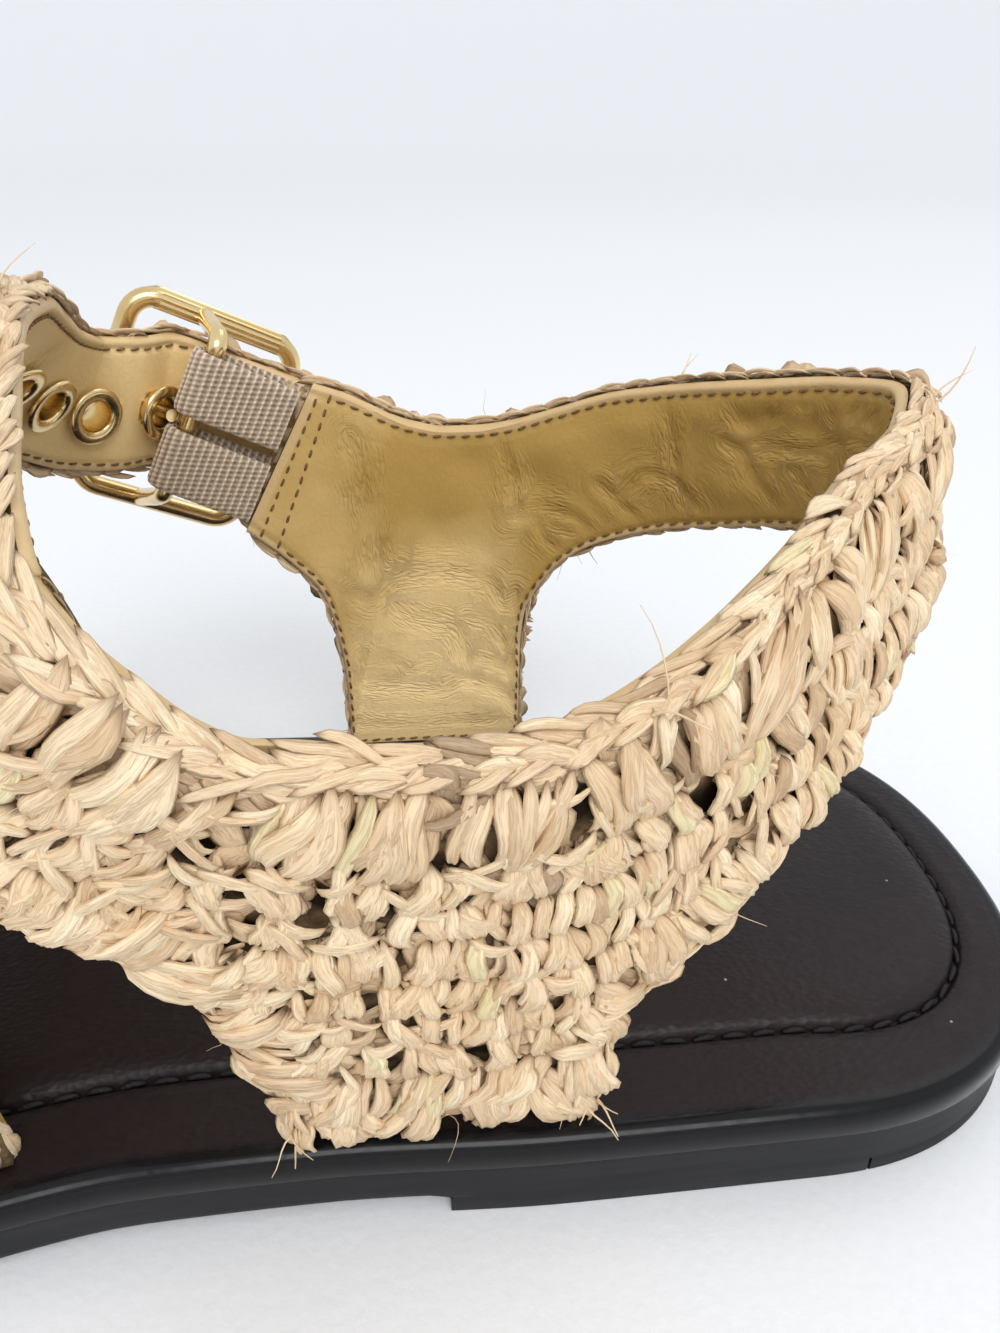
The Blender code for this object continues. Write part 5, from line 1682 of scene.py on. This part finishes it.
def buildFrays():
    parts = []
    rootOut, rootIn = frays["root"]
    for rib, share, count, length, spread in frays["tufts"]:
        for _ in range(count):
            t = np.clip(rib + dice.normal(0.0, frays["along"]), 0.0, lastRib)
            point, out = wallSpot(t, share)
            rise = ribRise(t, share)
            ahead = unit(wallSpot(t, 0.5)[0] - wallSpot(t - 0.5, 0.5)[0])
            away = rise if share > 0.6 else -rise if share < 0.4 else ahead
            heading = unit(away + out * dice.uniform(*frays["outward"]) + dice.normal(0.0, spread * 0.6, 3))
            if share < 0.1 and point[2] < 14.0:  # at the feet they lie on the footbed
                heading[2] = abs(heading[2]) * 0.3 - 0.25
            reach = frays["least"] + length * dice.uniform(*frays["reach"])
            radius = frays["radius"] * dice.uniform(*frays["thick"])
            parts.append(fibre(point + out * rootOut - away * rootIn, unit(heading), reach, radius))
    for _ in range(frays["strays"]):
        t = dice.uniform(0.5, lastRib - 0.5)
        point, out = wallSpot(t, dice.uniform(0.05, 1.0))
        heading = unit(out * 0.7 + dice.normal(0.0, 0.6, 3))
        reach = dice.uniform(*frays["strayReach"])
        radius = frays["radius"] * dice.uniform(*frays["strayThick"])
        parts.append(fibre(point + out * frays["strayRoot"], heading, reach, radius))
    tones = np.repeat(dice.uniform(*frays["tones"], len(parts)), frays["steps"] * frays["sides"])
    piece = addObject("raffia_frays", *joined(parts), "straw", None, {"tone": tones})
    layer = piece.data.uv_layers.new(name="UVMap")
    layer.data.foreach_set("uv", np.full(len(piece.data.loops) * 2, frays["leafSpot"], np.float32))
    dress(piece)


buildFrays()


# Studio: a pale floor that sweeps up into a backdrop that glows as painted light, soft light, camera at the
# photo's place
studio = {
    "floorColour": (0.83, 0.835, 0.845), "flat": 1.1, "height": 0.9, "sides": 72,
    "glow": (0.83, 0.88, 0.95), "glowFrom": 0.35, "glowTo": 1.7, "glowStrength": 0.085,
    "sky": (0.93, 0.96, 1.0), "skyStrength": 0.92, "aim": (0.04, 0.0, 0.03),
    # lights: place, size, power
    "key": ((-0.02, 0.85, 0.86), (0.7, 0.6), 7.2), "back": ((-0.5, -0.35, 0.9), (0.6, 0.5), 1.0),
}


def paperMaterial():
    f = Finish("palePaper", 0.8, specular=0.2)
    fleck = f.noise(f.place(), 900.0)
    colour = f.ramp(fleck, ((0.3, scaled(studio["floorColour"], 0.97)), (0.7, studio["floorColour"])))
    away = f.node("ShaderNodeVectorMath", {0: f.place()}, operation="LENGTH")["Value"]
    # painted light: the floor glows, more strongly further from the middle
    f.shader.inputs["Emission Color"].default_value = (*studio["glow"], 1.0)
    glow = f.grey(away, studio["glowFrom"], studio["glowTo"], 0.0, studio["glowStrength"])
    f.tree.links.new(glow, f.shader.inputs["Emission Strength"])
    return f.finish(colour, f.bumped(fleck, 0.15, 0.0004))


def buildFloor():
    flat, height, sides = studio["flat"], studio["height"], studio["sides"]
    profile = [(0.2, 0.0), (0.6, 0.0), (flat, 0.0)]
    profile += [(flat + height * math.sin(a), height * (1 - math.cos(a)))
                for a in np.radians(np.arange(8, 81, 8))]
    points = [(0.0, 0.0, 0.0)]
    for r, z in profile:
        points += [(r * math.cos(a), r * math.sin(a), z) for a in circle(sides)]
    faces = [(0, 1 + i, 1 + (i + 1) % sides) for i in range(sides)]
    faces += [(a, d, c, b) for a, b, c, d in ringFaces(len(profile), sides, 1)]
    mesh = bpy.data.meshes.new("paleFloor")
    mesh.from_pydata(points, [], faces)
    mesh.shade_smooth()
    mesh.materials.append(paperMaterial())
    linked("paleFloor", mesh)


def softLight(name, spot, size, power):
    data = bpy.data.lights.new(name, "AREA")
    data.shape = "RECTANGLE"
    data.size, data.size_y = size
    data.energy = power
    lamp = linked(name, data)
    lamp.location = spot
    lamp.rotation_mode = "QUATERNION"
    lamp.rotation_quaternion = (Vector(spot) - Vector(studio["aim"])).to_track_quat("Z", "Y")


def buildStudio():
    scene = bpy.context.scene
    buildFloor()
    scene.world = bpy.data.worlds.new("paleSky")
    scene.world.use_nodes = True
    sky = scene.world.node_tree.nodes["Background"]
    sky.inputs["Color"].default_value = (*studio["sky"], 1.0)
    sky.inputs["Strength"].default_value = studio["skyStrength"]
    for name in ("key", "back"):
        softLight(name + "Light", *studio[name])
    scene.view_settings.view_transform = "Standard"
    scene.view_settings.look = "None"


camera = {
    "place": (36.6, 91.7, 90.66), "yaw": -0.13, "pitch": 0.51, "roll": 0.01,
    "lens": 28.586, "sensor": 36.0, "nearest": 0.005,
}


def buildCamera():
    yaw, pitch, roll = camera["yaw"], camera["pitch"], camera["roll"]
    ahead = np.array((math.sin(yaw) * math.cos(pitch), -math.cos(yaw) * math.cos(pitch), -math.sin(pitch)))
    right = unit(np.cross(ahead, (0.0, 0.0, 1.0)))
    up = np.cross(right, ahead)
    across = math.cos(roll) * right + math.sin(roll) * up
    above = math.cos(roll) * up - math.sin(roll) * right
    data = bpy.data.cameras.new("photoCamera")
    data.sensor_width, data.lens, data.clip_start = camera["sensor"], camera["lens"], camera["nearest"]
    eye = linked("photoCamera", data)
    turned = Matrix(np.column_stack((across, above, -ahead)).tolist()).to_4x4()
    eye.matrix_world = Matrix.Translation([v * mm for v in camera["place"]]) @ turned
    bpy.context.scene.camera = eye


buildStudio()
buildCamera()
